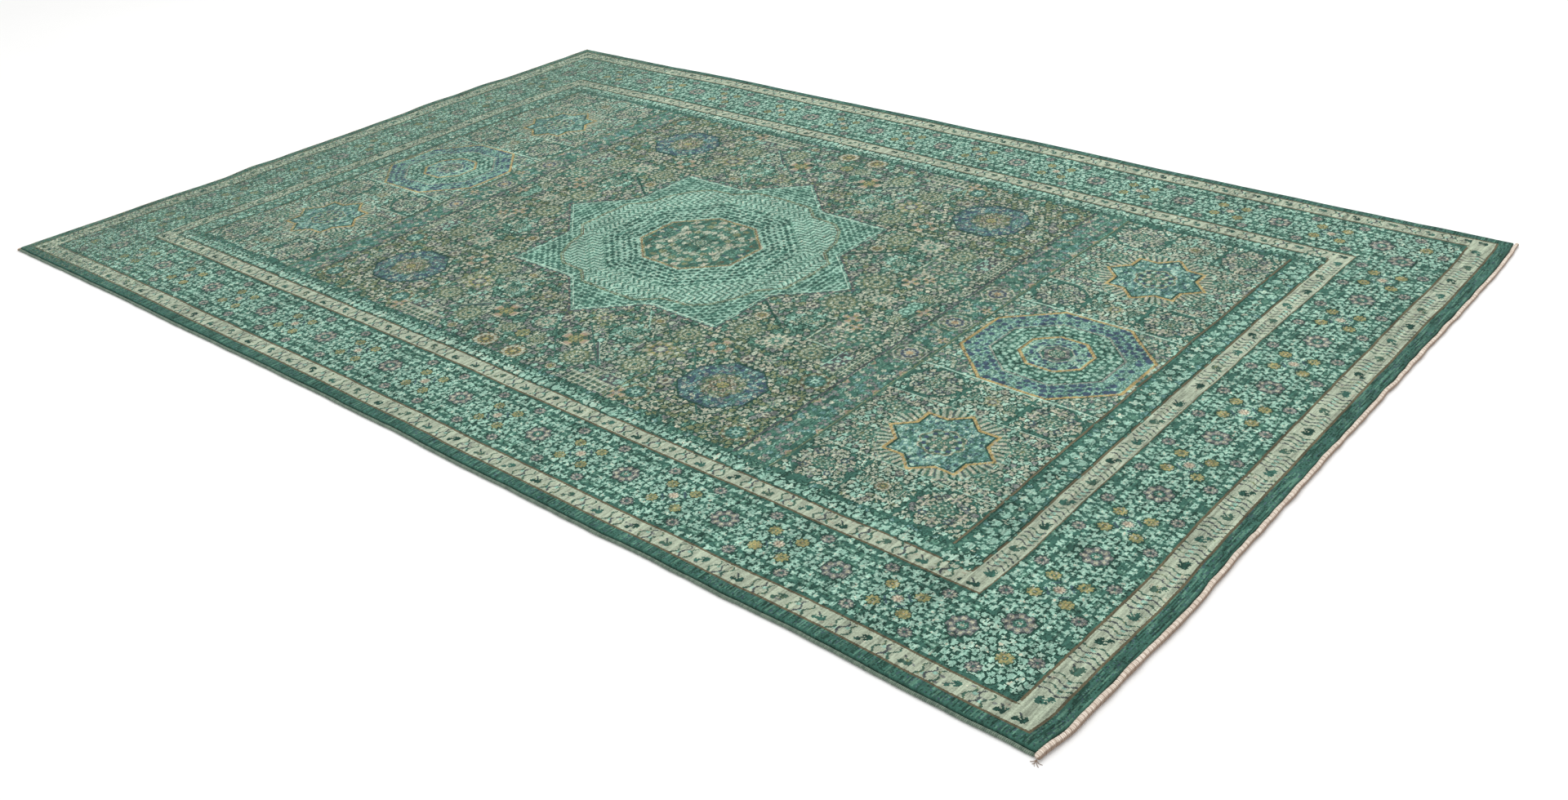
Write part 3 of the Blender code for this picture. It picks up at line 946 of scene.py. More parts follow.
def endPanel(chart):
    left, right, centre = panel["left"], panel["right"], panel["centre"]
    ly = bands["leafIn"][1]
    ruleA, ruleB, ruleC = panel["rules"]
    chart.box(left - 0.001, 0, right + 0.006, ly, "teal")
    scatterLeaves(chart, rect(left, 0, right, ruleA), 0.0118, 0.0112, ["stone", "mint", "stone", "mauve", "pale"], 71,
                  "teal")
    for low, high, seed, middleFlower in ((ruleA, ruleB, 72, "yellow"), (ruleC, ly - 0.004, 75, "ring")):
        innerLeft, innerRight = left + panel["cellWidths"][0], right - panel["cellWidths"][1]
        lozengeCell(chart, left, low, innerLeft, high, "stone", seed)
        lozengeCell(chart, innerRight, low, right, high, "sand", seed + 10)
        mid = (low + high) / 2
        leafyBox(chart, (innerLeft, low, innerRight, high), "teal", 0.0124, 0.0126,
                 ["mint", "stone", "pale", "stone"], seed + 20, "deep")
        for c in (-1, 1):
            for d in (-1, 1):
                chart.line(centre + c * 0.020, mid + d * 0.016, centre + c * 0.050, mid + d * 0.048, 0.0022, "moss")
            flower(chart, "grey", centre + c * 0.034, mid, 0.0115)
            chart.line(centre + c * 0.056, low, centre + c * 0.056, high, 0.0022, "teal")
        flower(chart, middleFlower, centre, mid, 0.0150)
        for y in (low + 0.014, high - 0.014):
            flower(chart, "small", centre, y, 0.0080)
    starCell(chart, centre, panel["starAt"])
    # the gold octagon: blue ring, pale line, leaf ring, small gold octagon
    chart.polygon(octagon(centre, 0, 0.1620, 0.1565), "teal")
    for seed, (outer, inner, steps, scales, others) in enumerate(panel["rings"]):
        ringScales(chart, centre, 0, outer, inner, panel["narrow"], steps, scales, 81 + seed, others, 0.25)
    for half, width, yarn in panel["outlines"]:
        chart.outline(octagon(centre, 0, half, half / panel["narrow"], regular), width, yarn)
    flower(chart, "small", centre, 0, 0.0240)
    flower(chart, "grey", centre, 0, 0.0150)
    # frames
    for y in panel["rules"]:
        chart.line(left, y, right, y, 0.0026, "pale")
    for x, yarn in ((left - 0.0005, "moss"), (right + 0.0010, "brown")):
        chart.line(x, 0, x, ly, 0.0024, yarn)
    chart.line(right + 0.0035, 0, right + 0.0035, ly, 0.0022, "deep")
    chart.line(0, ly, right, ly, 0.0028, "brown")


def paintQuarter():
    chart = Chart(design["columns"], design["rows"], design["pitch"], "teal")
    fieldCloth(chart)
    paintBands(chart)
    return chart.knots


knotChanges = {
    "strayDark": -1.3,          # where stray knots begin, in an even noise with a spread of one
    "strayLight": 1.35,
    # streaks of darker, bluer and lighter yarn in the plain outer band: from, to, yarn
    "streaks": [(-9, -0.95, "deep"), (0.6, 0.9, "blue"), (0.9, 9, "green")],
    "dullest": 0.50,
    "dullAtEnd": 0.66,
    "dullReach": 0.9,           # metres
    "dullYarns": ["green", "teal", "mauve", "deep", "olive"],
    "greyedTowardsFar": [("gold", "olive"), ("straw", "olive"), ("peach", "mauve"), ("cream", "stone")],
}


# Even noise with a spread of one, drawn out up the rows and a little across them.
def drawnOut(knots, seed, up, across, share):
    rough = np.random.default_rng(seed).normal(size=knots.shape)
    rough = sum(np.roll(rough, step, axis=0) for step in range(up)) + share * sum(
        np.roll(rough, step, axis=1) for step in range(1, across + 1))
    return rough / rough.std()


# A few knots in every yarn come from the next dye lot, lighter or darker.
def strayKnots(knots, seed):
    rough = drawnOut(knots, seed, 3, 1, 0.5)
    strayed = knots.copy()
    for name, (darker, lighter) in strays.items():
        same = knots == yarnNumber[name]
        strayed[same & (rough < knotChanges["strayDark"])] = yarnNumber[darker]
        strayed[same & (rough > knotChanges["strayLight"])] = yarnNumber[lighter]
    return strayed


# Long streaks in the plain band outside the guards.
def plainStreaks(knots, seed):
    streak = drawnOut(knots, seed, 15, 2, 0.4)
    fromMidY, fromMidX = [abs(np.arange(count) + 0.5 - count / 2) * design["pitch"] for count in knots.shape]
    plain = (fromMidX[None, :] > bands["guardOut"][0]) | (fromMidY[:, None] > bands["guardOut"][1])
    for low, high, yarn in knotChanges["streaks"]:
        knots[plain & (streak > low) & (streak < high)] = yarnNumber[yarn]


# Towards the far end the pile is drawn duller and darker: knots of plain green and grey break up the pattern, and
# bright yarns turn plainer.
def dullFarEnd(knots, seed):
    rng = np.random.default_rng(seed)
    fromFar = (np.arange(knots.shape[1]) + 0.5) * design["pitch"]
    share = np.clip(knotChanges["dullAtEnd"] - fromFar / knotChanges["dullReach"], 0, knotChanges["dullest"])[None, :]
    dull = rng.random(knots.shape)
    dull = np.minimum(dull, np.roll(dull, 1, axis=0)) < share / 2
    dullYarns = np.array([yarnNumber[name] for name in knotChanges["dullYarns"]])
    knots[dull] = dullYarns[rng.integers(len(dullYarns), size=knots.shape)][dull]
    for bright, plain in knotChanges["greyedTowardsFar"]:
        greyedTowardsFar = (knots == yarnNumber[bright]) & (rng.random(knots.shape) < 1.5 * share)
        knots[greyedTowardsFar] = yarnNumber[plain]


def paintRug():
    quarter = paintQuarter()
    half = np.hstack((quarter[:, ::-1], quarter))
    whole = np.vstack((half[::-1], half))
    whole = strayKnots(whole, 29)
    plainStreaks(whole, 31)
    dullFarEnd(whole, 37)
    return whole


pile = {
    "knotsAcrossFace": 5,       # one face of the pile carries 5 by 3 knots
    "knotsUpFace": 3,
    "drift": 0.0231,            # the rows were beaten tighter at the far end
    "driftAcross": 0.0205,      # and the middle lies a little towards the near side
    "waviness": 0.00035,        # low waves left in the pile
    # the clipped rim from the top down: (out from the pile's edge, height)
    "rim": [(0.0010, 0.0083), (0.0017, 0.0074), (0.0021, 0.0056), (0.0019, 0.0034), (0.0013, 0.0013),
            (-0.0040, 0.0012)],
    "wavyRings": 4,             # rings from the top that follow the waves
    "edgeIn": 0.0020,
    "rimOnMap": (0.975, 0.0035),     # how much of the bake map the top takes, and each ring of the rim
}

back = {
    "faces": (90, 60),
    "out": 0.0012,              # past the pile's edge
    "thickness": 0.0023,        # warp and weft
}


def pilePlace(u, v, out):
    slipped = u + pile["drift"] * (u * u - 1)
    slid = v + pile["driftAcross"] * (v * v - 1)
    farIn, nearIn, sideIn = [rug[cord] + rug["seatGap"] + pile["edgeIn"] - out
                             for cord in ("farEndCord", "nearEndCord", "sideCord")]
    return rugPoint(slipped, slid, farIn, nearIn, sideIn)


def addObject(name, data):
    added = bpy.data.objects.new(name, data)
    bpy.context.scene.collection.objects.link(added)
    return added


def meshObject(name, bm, material):
    mesh = bpy.data.meshes.new(name)
    bm.to_mesh(mesh)
    bm.free()
    mesh.materials.append(material)
    return addObject(name, mesh)


def finish(name, bm, material, replaced=None):
    bmesh.ops.recalc_face_normals(bm, faces=bm.faces)
    piece = meshObject(name, bm, material)
    piece.data.polygons.foreach_set("use_smooth", [True] * len(piece.data.polygons))
    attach(piece, "root")
    if replaced:
        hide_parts(replaced)
    return piece


def knotLayers(bm, knots, wide, high):
    # every face gets the numbers of its 15 knots: three rows, each packed into one number
    originLayer = bm.faces.layers.float_vector.new("knotOrigin")
    digitsLayer = bm.faces.layers.float_vector.new("knotDigits")
    knotMap = bm.loops.layers.uv.new("knots")
    bakeMap = bm.loops.layers.uv.new("OFBake")
    stepX, stepY = pile["knotsAcrossFace"], pile["knotsUpFace"]
    weights = len(yarns) ** np.arange(stepX)
    packed = (knots.reshape(high, stepY, wide, stepX).transpose(0, 2, 1, 3) * weights).sum(axis=3)
    plainRow = float(yarnNumber["teal"] * weights.sum())
    topShare, ringShare = pile["rimOnMap"]
    for face in bm.faces:
        middle = face.calc_center_median()
        column = min(max(int((middle.x + 1) / 2 * wide), 0), wide - 1)
        row = min(max(int((middle.y + 1) / 2 * high), 0), high - 1)
        face[originLayer] = (column * stepX, row * stepY, 0)
        onTop = all(vert.co.z > -0.5 for vert in face.verts)
        face[digitsLayer] = [float(number) for number in packed[row, column]] if onTop else [plainRow] * 3
        for loop in face.loops:
            u, v, ring = loop.vert.co.x, loop.vert.co.y, -loop.vert.co.z
            loop[knotMap].uv = ((u + 1) / 2 * wide * stepX, (v + 1) / 2 * high * stepY)
            spread = topShare + ringShare * ring
            loop[bakeMap].uv = (0.5 + u * spread / 2, 0.5 + v * spread / 2)


def makePile(material):
    knots = paintRug()
    print("chart painted:", knots.shape[1], "by", knots.shape[0], "knots in", len(yarns), "yarns")
    wide, high = knots.shape[1] // pile["knotsAcrossFace"], knots.shape[0] // pile["knotsUpFace"]
    bm = bmesh.new()
    bmesh.ops.create_grid(bm, x_segments=wide, y_segments=high, size=1.0)
    for ring in range(1, len(pile["rim"]) + 1):
        rimEdges = [edge for edge in bm.edges if edge.is_boundary]
        grown = bmesh.ops.extrude_edge_only(bm, edges=rimEdges)
        for vert in grown["geom"]:
            if isinstance(vert, bmesh.types.BMVert):
                vert.co.z = -ring       # holds the ring's number until the rug takes its shape
    bm.normal_update()
    knotLayers(bm, knots, wide, high)
    profile = [(0.0, rug["thickness"])] + pile["rim"]
    for vert in bm.verts:
        ring = round(-vert.co.z)
        out, height = profile[ring]
        x, y = pilePlace(vert.co.x, vert.co.y, out)
        if ring < pile["wavyRings"]:
            wave = noise.noise((x * 9, y * 9, 0)) + 0.6 * noise.noise((x * 31, y * 31, 4))
            height += pile["waviness"] * wave - pile["waviness"]
        vert.co = (x, y, floorHeight(x, y) + height)
    return finish("pile", bm, material, "carpet")


def makeBack(material):
    # the knotted foundation under the pile
    bm = bmesh.new()
    bmesh.ops.create_grid(bm, x_segments=back["faces"][0], y_segments=back["faces"][1], size=1.0)
    for vert in bm.verts:
        x, y = pilePlace(vert.co.x, vert.co.y, back["out"])
        vert.co = (x, y, floorHeight(x, y))
    bmesh.ops.solidify(bm, geom=bm.faces[:], thickness=-back["thickness"])
    return finish("back", bm, material)


cords = {
    # pitch from wrap to wrap, depth of the grooves, sideways wobble, rings to a wrap, faces round;
    # thicker at the start of the route, thinner by its end, and how lumpy the winding is
    "endNear": {"diameter": 0.0100, "pitch": 0.0031, "groove": 0.13, "wobble": 0.0014, "rings": 5, "sides": 12,
                "thicker": 0.07, "thinner": 0.26, "lumps": 0.20},
    "endFar": {"diameter": 0.0070, "pitch": 0.0031, "groove": 0.13, "wobble": 0.0008, "rings": 4, "sides": 10,
               "thicker": 0.0, "thinner": 0.0, "lumps": 0.10},
    "side": {"diameter": 0.0060, "pitch": 0.0027, "groove": 0.15, "wobble": 0.0005, "rings": 4, "sides": 8,
             "thicker": 0.0, "thinner": 0.0, "lumps": 0.08},
}


def routeOf(kind, end, count=240):
    points = []
    for step in range(count + 1):
        place = -1 + 2 * step / count
        if kind == "side":
            radius = rug["sideCord"] / 2
            farIn, nearIn = rug["farEndCord"] + rug["seatGap"], rug["nearEndCord"] + rug["seatGap"]
            x, y = rugPoint(place, end, farIn, nearIn, radius)
        else:
            radius = rug["nearEndCord"] / 2 if end > 0 else rug["farEndCord"] / 2
            x, y = rugPoint(end, place, radius, radius)
            if step in (0, count):
                y += rug["cordOverhang"] * place
        points.append(Vector((x, y, floorHeight(x, y) + radius)))
    return points


def makeCord(name, route, sizes, material, node, seed):
    # a grid rolled into a tube, with the wrapped thread standing out as a screw of ridges
    lengths = [0.0]
    for a, b in zip(route, route[1:]):
        lengths.append(lengths[-1] + (b - a).length)
    total = lengths[-1]
    axes = np.array([tuple(point) for point in route]).T
    pitch, radius = sizes["pitch"], sizes["diameter"] / 2

    def spot(along):
        return Vector([np.interp(along, lengths, axis) for axis in axes])

    bm = bmesh.new()
    bmesh.ops.create_grid(bm, x_segments=int(total / pitch) * sizes["rings"], y_segments=sizes["sides"], size=1.0)
    wrapMap = bm.loops.layers.uv.new("wraps")
    for face in bm.faces:
        for loop in face.loops:
            loop[wrapMap].uv = ((loop.vert.co.x + 1) / 2 * total, (loop.vert.co.y + 1) / 2)
    for vert in bm.verts:
        share, around = (vert.co.x + 1) / 2, (vert.co.y + 1) / 2
        along = share * total
        run = (spot(along + 0.004) - spot(along - 0.004)).normalized()
        sideways = run.cross(Vector((0, 0, 1))).normalized()
        upward = sideways.cross(run)
        phase = along / pitch - around
        ridge = abs(math.cos(math.pi * phase))
        wrap = math.floor(phase + 0.5) + around     # counted so that it meets itself at the seam
        lump = sizes["lumps"] * noise.noise((along / pitch * 0.08, seed, 0))
        swell = 1 + sizes["thicker"] - sizes["thinner"] * share + lump
        centre = spot(along)
        centre.z += radius * (swell - 1)
        swell += 0.06 * noise.noise((wrap * 1.7, seed, 5))
        r = radius * swell * (1 - sizes["groove"] * (1 - ridge) ** 1.3) * 0.97
        fromTip = min(along, total - along)
        if fromTip < radius:
            r *= math.sqrt(max(1 - (1 - fromTip / radius) ** 2, 0))
        angle = 2 * math.pi * around
        place = centre + sideways * (r * math.cos(angle)) + upward * (r * math.sin(angle) * 0.96)
        aside = sizes["wobble"] * noise.noise((along * 26, seed, 2))
        vert.co = place + sideways * aside + Vector((0, 0, 0.0004 * noise.noise((along * 60, seed, 9))))
    bmesh.ops.remove_doubles(bm, verts=bm.verts, dist=0.00001)
    return finish(name, bm, material, node)


# A colour of red, green and blue out of 255, as the shaders take it.
def linear(colour, dim=1.0):
    parts = [part / 255 for part in colour]
    return (*[(part / 12.92 if part <= 0.04045 else ((part + 0.055) / 1.055) ** 2.4) * dim for part in parts], 1)


class Nodes:
    # short hand for adding and linking nodes in a tree
    def __init__(self, tree):
        self.tree = tree
        self.column = 0

    def put(self, value, socket):
        if isinstance(value, bpy.types.NodeSocket):
            self.tree.links.new(value, socket)
        else:
            socket.default_value = value

    def fill(self, node, inputs):
        for name, value in inputs.items():
            self.put(value, node.inputs[name])

    def add(self, kind, inputs=None, **settings):
        node = self.tree.nodes.new(kind)
        node.location = (self.column, 0)
        self.column += 190
        for name, value in settings.items():
            setattr(node, name, value)
        self.fill(node, inputs or {})
        return node

    def math(self, operation, first, second=0.0):
        return self.add("ShaderNodeMath", {0: first, 1: second}, operation=operation).outputs[0]

    def times(self, first, second):
        return self.math("MULTIPLY", first, second)

    def total(self, *terms):
        added = terms[0]
        for term in terms[1:]:
            added = self.math("ADD", added, term)
        return added

    def vector(self, operation, first, second=(0, 0, 0)):
        return self.add("ShaderNodeVectorMath", {0: first, 1: second}, operation=operation).outputs[0]

    def shaded(self, colour, shade):
        return self.add("ShaderNodeVectorMath", {0: colour, "Scale": shade}, operation="SCALE").outputs[0]

    def parts(self, vector):
        return self.add("ShaderNodeSeparateXYZ", {0: vector}).outputs

    def mix(self, share, first, second):
        inputs = {"Factor": share, "A": first, "B": second}
        return self.add("ShaderNodeMix", inputs, data_type="RGBA").outputs["Result"]

    def noise(self, vector, scale, detail=2.0, roughness=0.5):
        inputs = {"Vector": vector, "Scale": scale, "Detail": detail, "Roughness": roughness}
        return self.add("ShaderNodeTexNoise", inputs).outputs["Fac"]

    def stretched(self, vector, scale):
        return self.add("ShaderNodeMapping", {"Vector": vector, "Scale": scale}).outputs["Vector"]

    def remap(self, value, fromMin, fromMax, toMin, toMax):
        inputs = dict(enumerate((value, fromMin, fromMax, toMin, toMax)))
        return self.add("ShaderNodeMapRange", inputs, clamp=True).outputs["Result"]

    def fibre(self, group, vector, fineness):
        return self.add("ShaderNodeGroup", {"Vector": vector, "Fineness": fineness}, node_tree=group).outputs

    def relief(self, height, distance, strength=1.0, invert=False):
        inputs = {"Height": height, "Distance": distance, "Strength": strength}
        return self.add("ShaderNodeBump", inputs, invert=invert).outputs["Normal"]

    def place(self):
        return self.add("ShaderNodeTexCoord").outputs["Object"]

    def uvMap(self, name):
        return self.add("ShaderNodeUVMap", uv_map=name).outputs["UV"]

    def attribute(self, name):
        return self.add("ShaderNodeAttribute", attribute_name=name).outputs["Vector"]


def newMaterial(name):
    material = bpy.data.materials.new(name)
    material.use_nodes = True
    return material, Nodes(material.node_tree), material.node_tree.nodes["Principled BSDF"]


# Wool: fine fibres drawn out one way, used by every yarn on the rug.
def woolGroup():
    group = bpy.data.node_groups.new("woolFibre", "ShaderNodeTree")
    for name, way, kind in (("Vector", "INPUT", "Vector"), ("Fineness", "INPUT", "Float"),
                            ("Tone", "OUTPUT", "Float"), ("Height", "OUTPUT", "Float")):
        group.interface.new_socket(name, in_out=way, socket_type="NodeSocket" + kind)
    nodes = Nodes(group)
    entry = nodes.add("NodeGroupInput").outputs
    fine = nodes.noise(entry["Vector"], entry["Fineness"], 3.0, 0.6)
    coarse = nodes.noise(entry["Vector"], nodes.times(entry["Fineness"], 0.21), 2.0, 0.5)
    both = nodes.total(nodes.times(fine, 0.6), nodes.times(coarse, 0.4))
    nodes.add("NodeGroupOutput", {"Tone": nodes.remap(both, 0.25, 0.75, 0.0, 1.0), "Height": both})
    return group


pileLook = {
    "roughness": 0.92,
    "sheen": 0.04,
    "gloss": 0.10,
    "knotRelief": 0.0009,
    "reliefStrength": 0.7,
    "knotShade": (0.84, 1.18),  # the darkest and the lightest single knots
    "fibreShade": 0.10,
    "fibreStretch": (1.0, 0.35, 1.0),
    "fineness": 900.0,          # of the wool's fibres
    "knotWander": (1.2, 1.6, 0.0),      # how far a knot's place strays, in knots
    "wanderStretch": (0.9, 0.45, 1.0),
    # stretch along and across, detail, roughness, the low and high ends of the noise used, depth
    "streak": ((300.0, 22.0, 1.0), 3.0, 0.6, 0.36, 0.64, 0.42),
    "longStreak": ((120.0, 9.0, 1.0), 2.0, 0.5, 0.38, 0.62, 0.40),
    "abrash": ((11.0, 0.9, 1.0), 4.0, 0.55, 0.3, 0.7, 0.20),
    "clouds": ((3.0, 3.0, 1.0), 2.0, 0.5, 0.3, 0.7, 0.10),
}


# The yarn under a place: its face's knots are read back from three packed numbers.
def yarnColour(nodes, spot):
    count = float(len(yarns))
    local = nodes.parts(nodes.vector("SUBTRACT", spot, nodes.attribute("knotOrigin")))
    column, row = [nodes.math("FLOOR", nodes.math("MINIMUM", nodes.math("MAXIMUM", local[axis], 0.0), most))
                   for axis, most in (("X", pile["knotsAcrossFace"] - 0.01), ("Y", pile["knotsUpFace"] - 0.01))]
    rows = nodes.parts(nodes.attribute("knotDigits"))
    isFirst, isLast = nodes.math("LESS_THAN", row, 0.5), nodes.math("GREATER_THAN", row, 1.5)
    isMiddle = nodes.math("SUBTRACT", nodes.math("SUBTRACT", 1.0, isFirst), isLast)
    packed = nodes.total(nodes.times(rows["X"], isFirst), nodes.times(rows["Y"], isMiddle),
                         nodes.times(rows["Z"], isLast))
    whole = nodes.math("FLOOR", nodes.math("DIVIDE", nodes.total(packed, 0.5), nodes.math("POWER", count, column)))
    higher = nodes.times(nodes.math("FLOOR", nodes.math("DIVIDE", whole, count)), count)
    yarn = nodes.math("SUBTRACT", whole, higher)
    palette = nodes.add("ShaderNodeValToRGB", {"Fac": nodes.math("DIVIDE", nodes.total(yarn, 0.5), count)})
    ramp = palette.color_ramp
    ramp.interpolation = "CONSTANT"
    while len(ramp.elements) < len(yarns):
        ramp.elements.new(0.5)
    for number, colour in enumerate(yarns.values()):
        ramp.elements[number].position = number / len(yarns)
        ramp.elements[number].color = linear(colour)
    return palette.outputs["Color"]


def pileMaterial(wool):
    material, nodes, shader = newMaterial("woolPile")
    where, knotMap = nodes.place(), nodes.uvMap("knots")
    # knots don't sit in perfect squares: the place looked up wanders a little
    wanderMap = nodes.stretched(knotMap, pileLook["wanderStretch"])
    drift = nodes.add("ShaderNodeTexNoise", {"Vector": wanderMap, "Scale": 1.0, "Detail": 1.0})
    centred = nodes.vector("SUBTRACT", drift.outputs["Color"], (0.5, 0.5, 0.5))
    spot = nodes.vector("ADD", knotMap, nodes.vector("MULTIPLY", centred, pileLook["knotWander"]))
    # one shade for each knot, streaks down the rows, and slow bands across the warps
    dye = nodes.add("ShaderNodeTexWhiteNoise", {"Vector": nodes.vector("FLOOR", spot)}, noise_dimensions="2D")
    drawn, shades = {}, {}
    for name in ("streak", "longStreak", "abrash", "clouds"):
        stretch, detail, roughness, low, high, depth = pileLook[name]
        drawn[name] = nodes.noise(nodes.stretched(where, stretch), 1.0, detail, roughness)
        shades[name] = nodes.remap(drawn[name], low, high, -depth / 2, depth / 2)
    fibre = nodes.fibre(wool, nodes.stretched(where, pileLook["fibreStretch"]), pileLook["fineness"])
    fibreShade = nodes.remap(fibre["Tone"], 0, 1, -pileLook["fibreShade"], pileLook["fibreShade"])
    shade = nodes.total(nodes.remap(dye.outputs["Value"], 0, 1, *pileLook["knotShade"]), shades["streak"],
                        shades["longStreak"], shades["abrash"], fibreShade, shades["clouds"])
    # knots stand up in rows, with the pile laid over them
    cell = nodes.parts(nodes.vector("FRACTION", spot))
    fromMiddle = [nodes.math("ABSOLUTE", nodes.math("SUBTRACT", cell[axis], 0.5)) for axis in ("X", "Y")]
    slopes = [nodes.math("POWER", nodes.times(out, 2.0), 3.0) for out in fromMiddle]
    dome = nodes.math("SUBTRACT", 1.0, nodes.total(*slopes))
    height = nodes.total(nodes.times(dome, 0.35), nodes.times(drawn["streak"], 0.9),
                         nodes.times(fibre["Height"], 0.7))
    nodes.fill(shader, {
        "Base Color": nodes.shaded(yarnColour(nodes, spot), shade),
        "Normal": nodes.relief(height, pileLook["knotRelief"], pileLook["reliefStrength"]),
        "Roughness": pileLook["roughness"],
        "Sheen Weight": pileLook["sheen"],
        "Sheen Roughness": 0.5,
        "Specular IOR Level": pileLook["gloss"],
    })
    return material


backLook = {
    "dark": (72, 104, 90),
    "light": (140, 168, 148),
    "warp": (196, 190, 170),
    "knots": (500.0, 420.0, 1.0),       # knots to a metre
    "evenness": 0.35,           # 0 is a perfect grid
    "patchScale": 60.0,
    "relief": 0.0008,
    "roughness": 0.95,
}


def backMaterial():
    material, nodes, shader = newMaterial("knottedBack")
    where = nodes.place()
    inputs = {"Vector": nodes.stretched(where, backLook["knots"]), "Scale": 1.0, "Randomness": backLook["evenness"]}
    knots = nodes.add("ShaderNodeTexVoronoi", inputs, feature="F1").outputs["Distance"]
    patches = nodes.remap(nodes.noise(where, backLook["patchScale"], 2.0, 0.6), 0.42, 0.58, 0, 1)
    base = nodes.mix(patches, linear(backLook["dark"]), linear(backLook["light"]))
    base = nodes.mix(nodes.remap(knots, 0.35, 0.6, 0, 0.6), base, linear(backLook["warp"]))
    normal = nodes.relief(knots, backLook["relief"], invert=True)
    nodes.fill(shader, {"Base Color": base, "Normal": normal, "Roughness": backLook["roughness"]})
    return material


cordLook = {
    "fineness": 1400.0,
    "patchScale": 22.0,
    "stain": 0.35,
    "grooveWidth": 0.22,        # share of a wrap
    # how far painted shade darkens the grooves between the wraps
    "grooveShade": 0.85,
    "relief": 0.0006,
    "roughness": 0.9,
    "sheen": 0.1,
}

cordColours = {
    # painted shade in the grooves, middle and light yarn
    "whippedEnd": {"colours": [(160, 136, 116), (216, 201, 184), (243, 232, 218)], "pitch": cords["endNear"]["pitch"],
                   # underside: partly brown yarn, partly painted shade below the cord; also the colour of the
                   # slanting marks
                   "underside": (126, 102, 84), "strandPitch": 0.0095},
    "overcastSide": {"colours": [(38, 58, 50), (92, 112, 98), (128, 146, 128)], "pitch": cords["side"]["pitch"]},
}


def cordMaterial(name, wool):
    look = {**cordLook, **cordColours[name]}
    material, nodes, shader = newMaterial(name)
    where, wraps = nodes.place(), nodes.parts(nodes.uvMap("wraps"))
    phase = nodes.total(nodes.math("SUBTRACT", nodes.math("DIVIDE", wraps["X"], look["pitch"]), wraps["Y"]), 0.5)
    groove = nodes.math("PINGPONG", phase, 0.5)
    dye = nodes.add("ShaderNodeTexWhiteNoise", {"W": nodes.math("FLOOR", phase)}, noise_dimensions="1D")
    patches = nodes.noise(where, look["patchScale"], 3.0, 0.6)
    fibre = nodes.fibre(wool, where, look["fineness"])
    dark, middle, light = [linear(colour) for colour in look["colours"]]
    base = nodes.mix(nodes.remap(dye.outputs["Value"], 0, 1, 0.0, 1.0), middle, light)
    base = nodes.mix(nodes.remap(patches, 0.45, 0.75, 0.0, look["stain"]), base, middle)
    # painted shade: the grooves between the wraps are darkened towards the groove colour
    base = nodes.mix(nodes.remap(groove, 0.0, look["grooveWidth"], look["grooveShade"], 0.0), base, dark)
    if "underside" in look:
        # partly brown yarn and partly painted shade: the wrapping is browner below, towards the outer side, where
        # shade falls
        below = nodes.math("COSINE", nodes.times(nodes.math("SUBTRACT", wraps["Y"], 0.965), math.tau))
        ragged = nodes.total(below, nodes.times(patches, 0.25))
        base = nodes.mix(nodes.remap(ragged, 0.55, 0.85, 0.0, 0.85), base, linear(look["underside"]))
        # and the thick yarn under it shows through as slanting marks
        strand = nodes.math("SUBTRACT", nodes.math("DIVIDE", wraps["X"], look["strandPitch"]), wraps["Y"])
        strand = nodes.math("PINGPONG", nodes.total(strand, nodes.times(patches, 0.8)), 0.5)
        base = nodes.mix(nodes.remap(strand, 0.0, 0.13, 0.75, 0.0), base, linear(look["underside"]))
    height = nodes.total(fibre["Height"], nodes.times(groove, 1.2))
    nodes.fill(shader, {
        "Base Color": nodes.shaded(base, nodes.remap(fibre["Tone"], 0, 1, 0.86, 1.12)),
        "Normal": nodes.relief(height, look["relief"]),
        "Roughness": look["roughness"],
        "Sheen Weight": look["sheen"],
    })
    return material


wool = woolGroup()
pileWool = pileMaterial(wool)
creamCord = cordMaterial("whippedEnd", wool)
greyCord = cordMaterial("overcastSide", wool)
print("materials made")

pilePiece = makePile(pileWool)
print("pile knotted:", len(pilePiece.data.polygons), "faces")
backPiece = makeBack(backMaterial())
cordPieces = [
    makeCord("sideCordNear", routeOf("side", -1), cords["side"], greyCord, "side_cord_near", 1.3),
    makeCord("sideCordFar", routeOf("side", 1), cords["side"], greyCord, "side_cord_far", 2.9),
    makeCord("endCordNear", routeOf("end", 1), cords["endNear"], creamCord, "end_cord_near", 4.1),
    makeCord("endCordFar", routeOf("end", -1), cords["endFar"], creamCord, "end_cord_far", 6.7),
]
print("cords wrapped")

looseThreads = {
    "thickness": 0.0009,
    "height": 0.0030,           # where they leave the cord
    "inset": 0.005,
    "overhang": 0.002,
    "steps": 8,
    # start out of the near end's two corners: side of the rug, way it lies, length, curl
    "threads": [(-1, -100, 0.010, 60), (-1, -75, 0.008, -60), (-1, -40, 0.010, 70), (-1, -120, 0.008, -40),
                (-1, -62, 0.011, 35), (1, 80, 0.008, 50), (1, 110, 0.008, -45)],
}


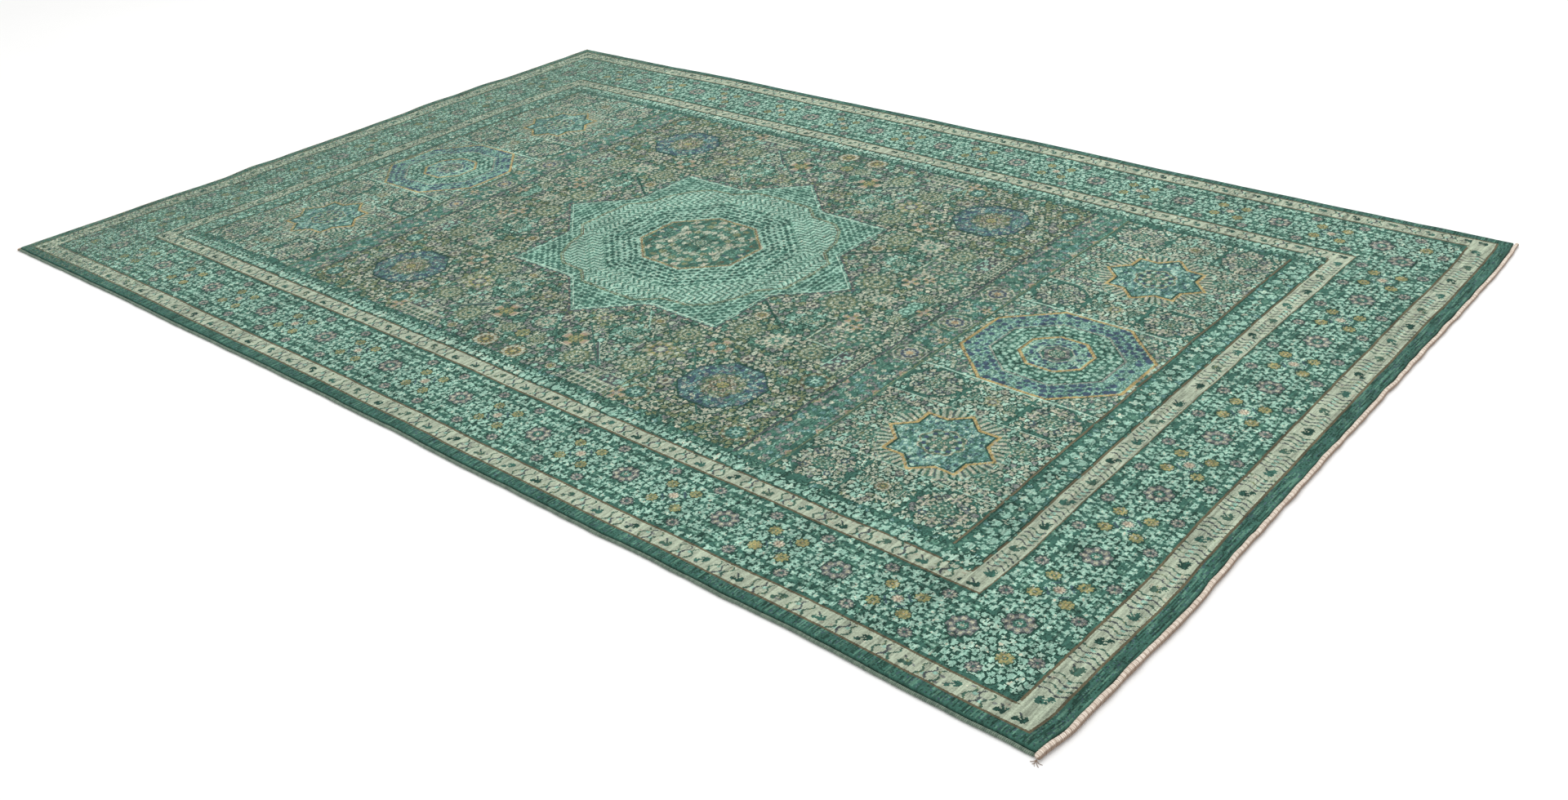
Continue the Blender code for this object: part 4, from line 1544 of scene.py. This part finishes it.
# Loose ends of the whipping thread at the near end's corners.
def makeThreads(material):
    bm = bmesh.new()
    thick, steps, inset = looseThreads["thickness"], looseThreads["steps"], looseThreads["inset"]
    for end, heading, length, curl in looseThreads["threads"]:
        x, y = rugPoint(1, end, inset, inset)
        y += end * looseThreads["overhang"]
        spot = Vector((x, y, looseThreads["height"]))
        lie = math.radians(heading)
        start = bmesh.ops.create_circle(bm, cap_ends=True, radius=thick / 2, segments=6)
        for vert in start["verts"]:
            vert.co = spot + Vector((-math.sin(lie) * vert.co.x, math.cos(lie) * vert.co.x, vert.co.y))
        cap = start["verts"][0].link_faces[0]
        for step in range(steps):
            grown = bmesh.ops.extrude_face_region(bm, geom=[cap])
            if step:
                bmesh.ops.delete(bm, geom=[cap], context="FACES_ONLY")
            cap = [item for item in grown["geom"] if isinstance(item, bmesh.types.BMFace)][0]
            drop = (spot.z - thick * 0.6) * -0.3
            move = Vector((math.cos(lie), math.sin(lie), 0)) * (length / steps) + Vector((0, 0, drop))
            spot = spot + move
            lie += math.radians(curl) / steps
            bmesh.ops.translate(bm, verts=cap.verts[:], vec=move)
    wrapMap = bm.loops.layers.uv.new("wraps")
    for face in bm.faces:
        for loop in face.loops:
            loop[wrapMap].uv = (loop.vert.co.x, loop.vert.co.y)
    return finish("looseThreads", bm, material)


threadPiece = makeThreads(creamCord)


studio = {
    "floorSize": 60.0,
    "floorColour": (244, 244, 243),
    "floorMottle": 0.99,        # the darker patches' share of the floor's tone
    "skyStrength": 0.86,
    "keyPower": 117.0,
    "keyPlace": (-0.2, 1.3, 4.2),
    "keySize": 4.0,
}


def floorMaterial():
    material, nodes, shader = newMaterial("paleFloor")
    mottle = nodes.remap(nodes.noise(nodes.place(), 3.0, 2.0), 0.3, 0.7, 0, 1)
    pale, darker = linear(studio["floorColour"]), linear(studio["floorColour"], studio["floorMottle"])
    nodes.fill(shader, {"Base Color": nodes.mix(mottle, pale, darker), "Roughness": 0.9})
    return material


bm = bmesh.new()
bmesh.ops.create_grid(bm, x_segments=4, y_segments=4, size=studio["floorSize"] / 2)
floor = meshObject("floor", bm, floorMaterial())
floor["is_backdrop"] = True

world = bpy.data.worlds.new("studio")
world.use_nodes = True
sky = world.node_tree.nodes["Background"]
sky.inputs["Color"].default_value = (1, 1, 1, 1)
sky.inputs["Strength"].default_value = studio["skyStrength"]
bpy.context.scene.world = world

keyData = bpy.data.lights.new("key", "AREA")
keyData.energy = studio["keyPower"]
keyData.size = studio["keySize"]
key = addObject("key", keyData)
key.location = studio["keyPlace"]
key.rotation_euler = (-Vector(studio["keyPlace"])).to_track_quat("-Z", "Y").to_euler()
print("studio lit")

view = {
    "place": (1.99555, -2.0539, 1.2516),
    "turn": (60.156, 3.527, 41.302),    # degrees
    "lens": 32.76,
    "filmWidth": 36,
    "shiftX": 0.025,
}
cameraData = bpy.data.cameras.new("camera")
cameraData.lens = view["lens"]
cameraData.sensor_width = view["filmWidth"]
cameraData.shift_x = view["shiftX"]
camera = addObject("camera", cameraData)
camera.location = view["place"]
camera.rotation_euler = Euler([math.radians(angle) for angle in view["turn"]])
bpy.context.scene.camera = camera
bpy.context.scene.view_settings.view_transform = "Standard"

newLow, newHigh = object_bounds()
for model, low, high in (("size", newLow, newHigh), ("plain model", cadLow, cadHigh)):
    print(model, [round(b - a, 4) for a, b in zip(low, high)])
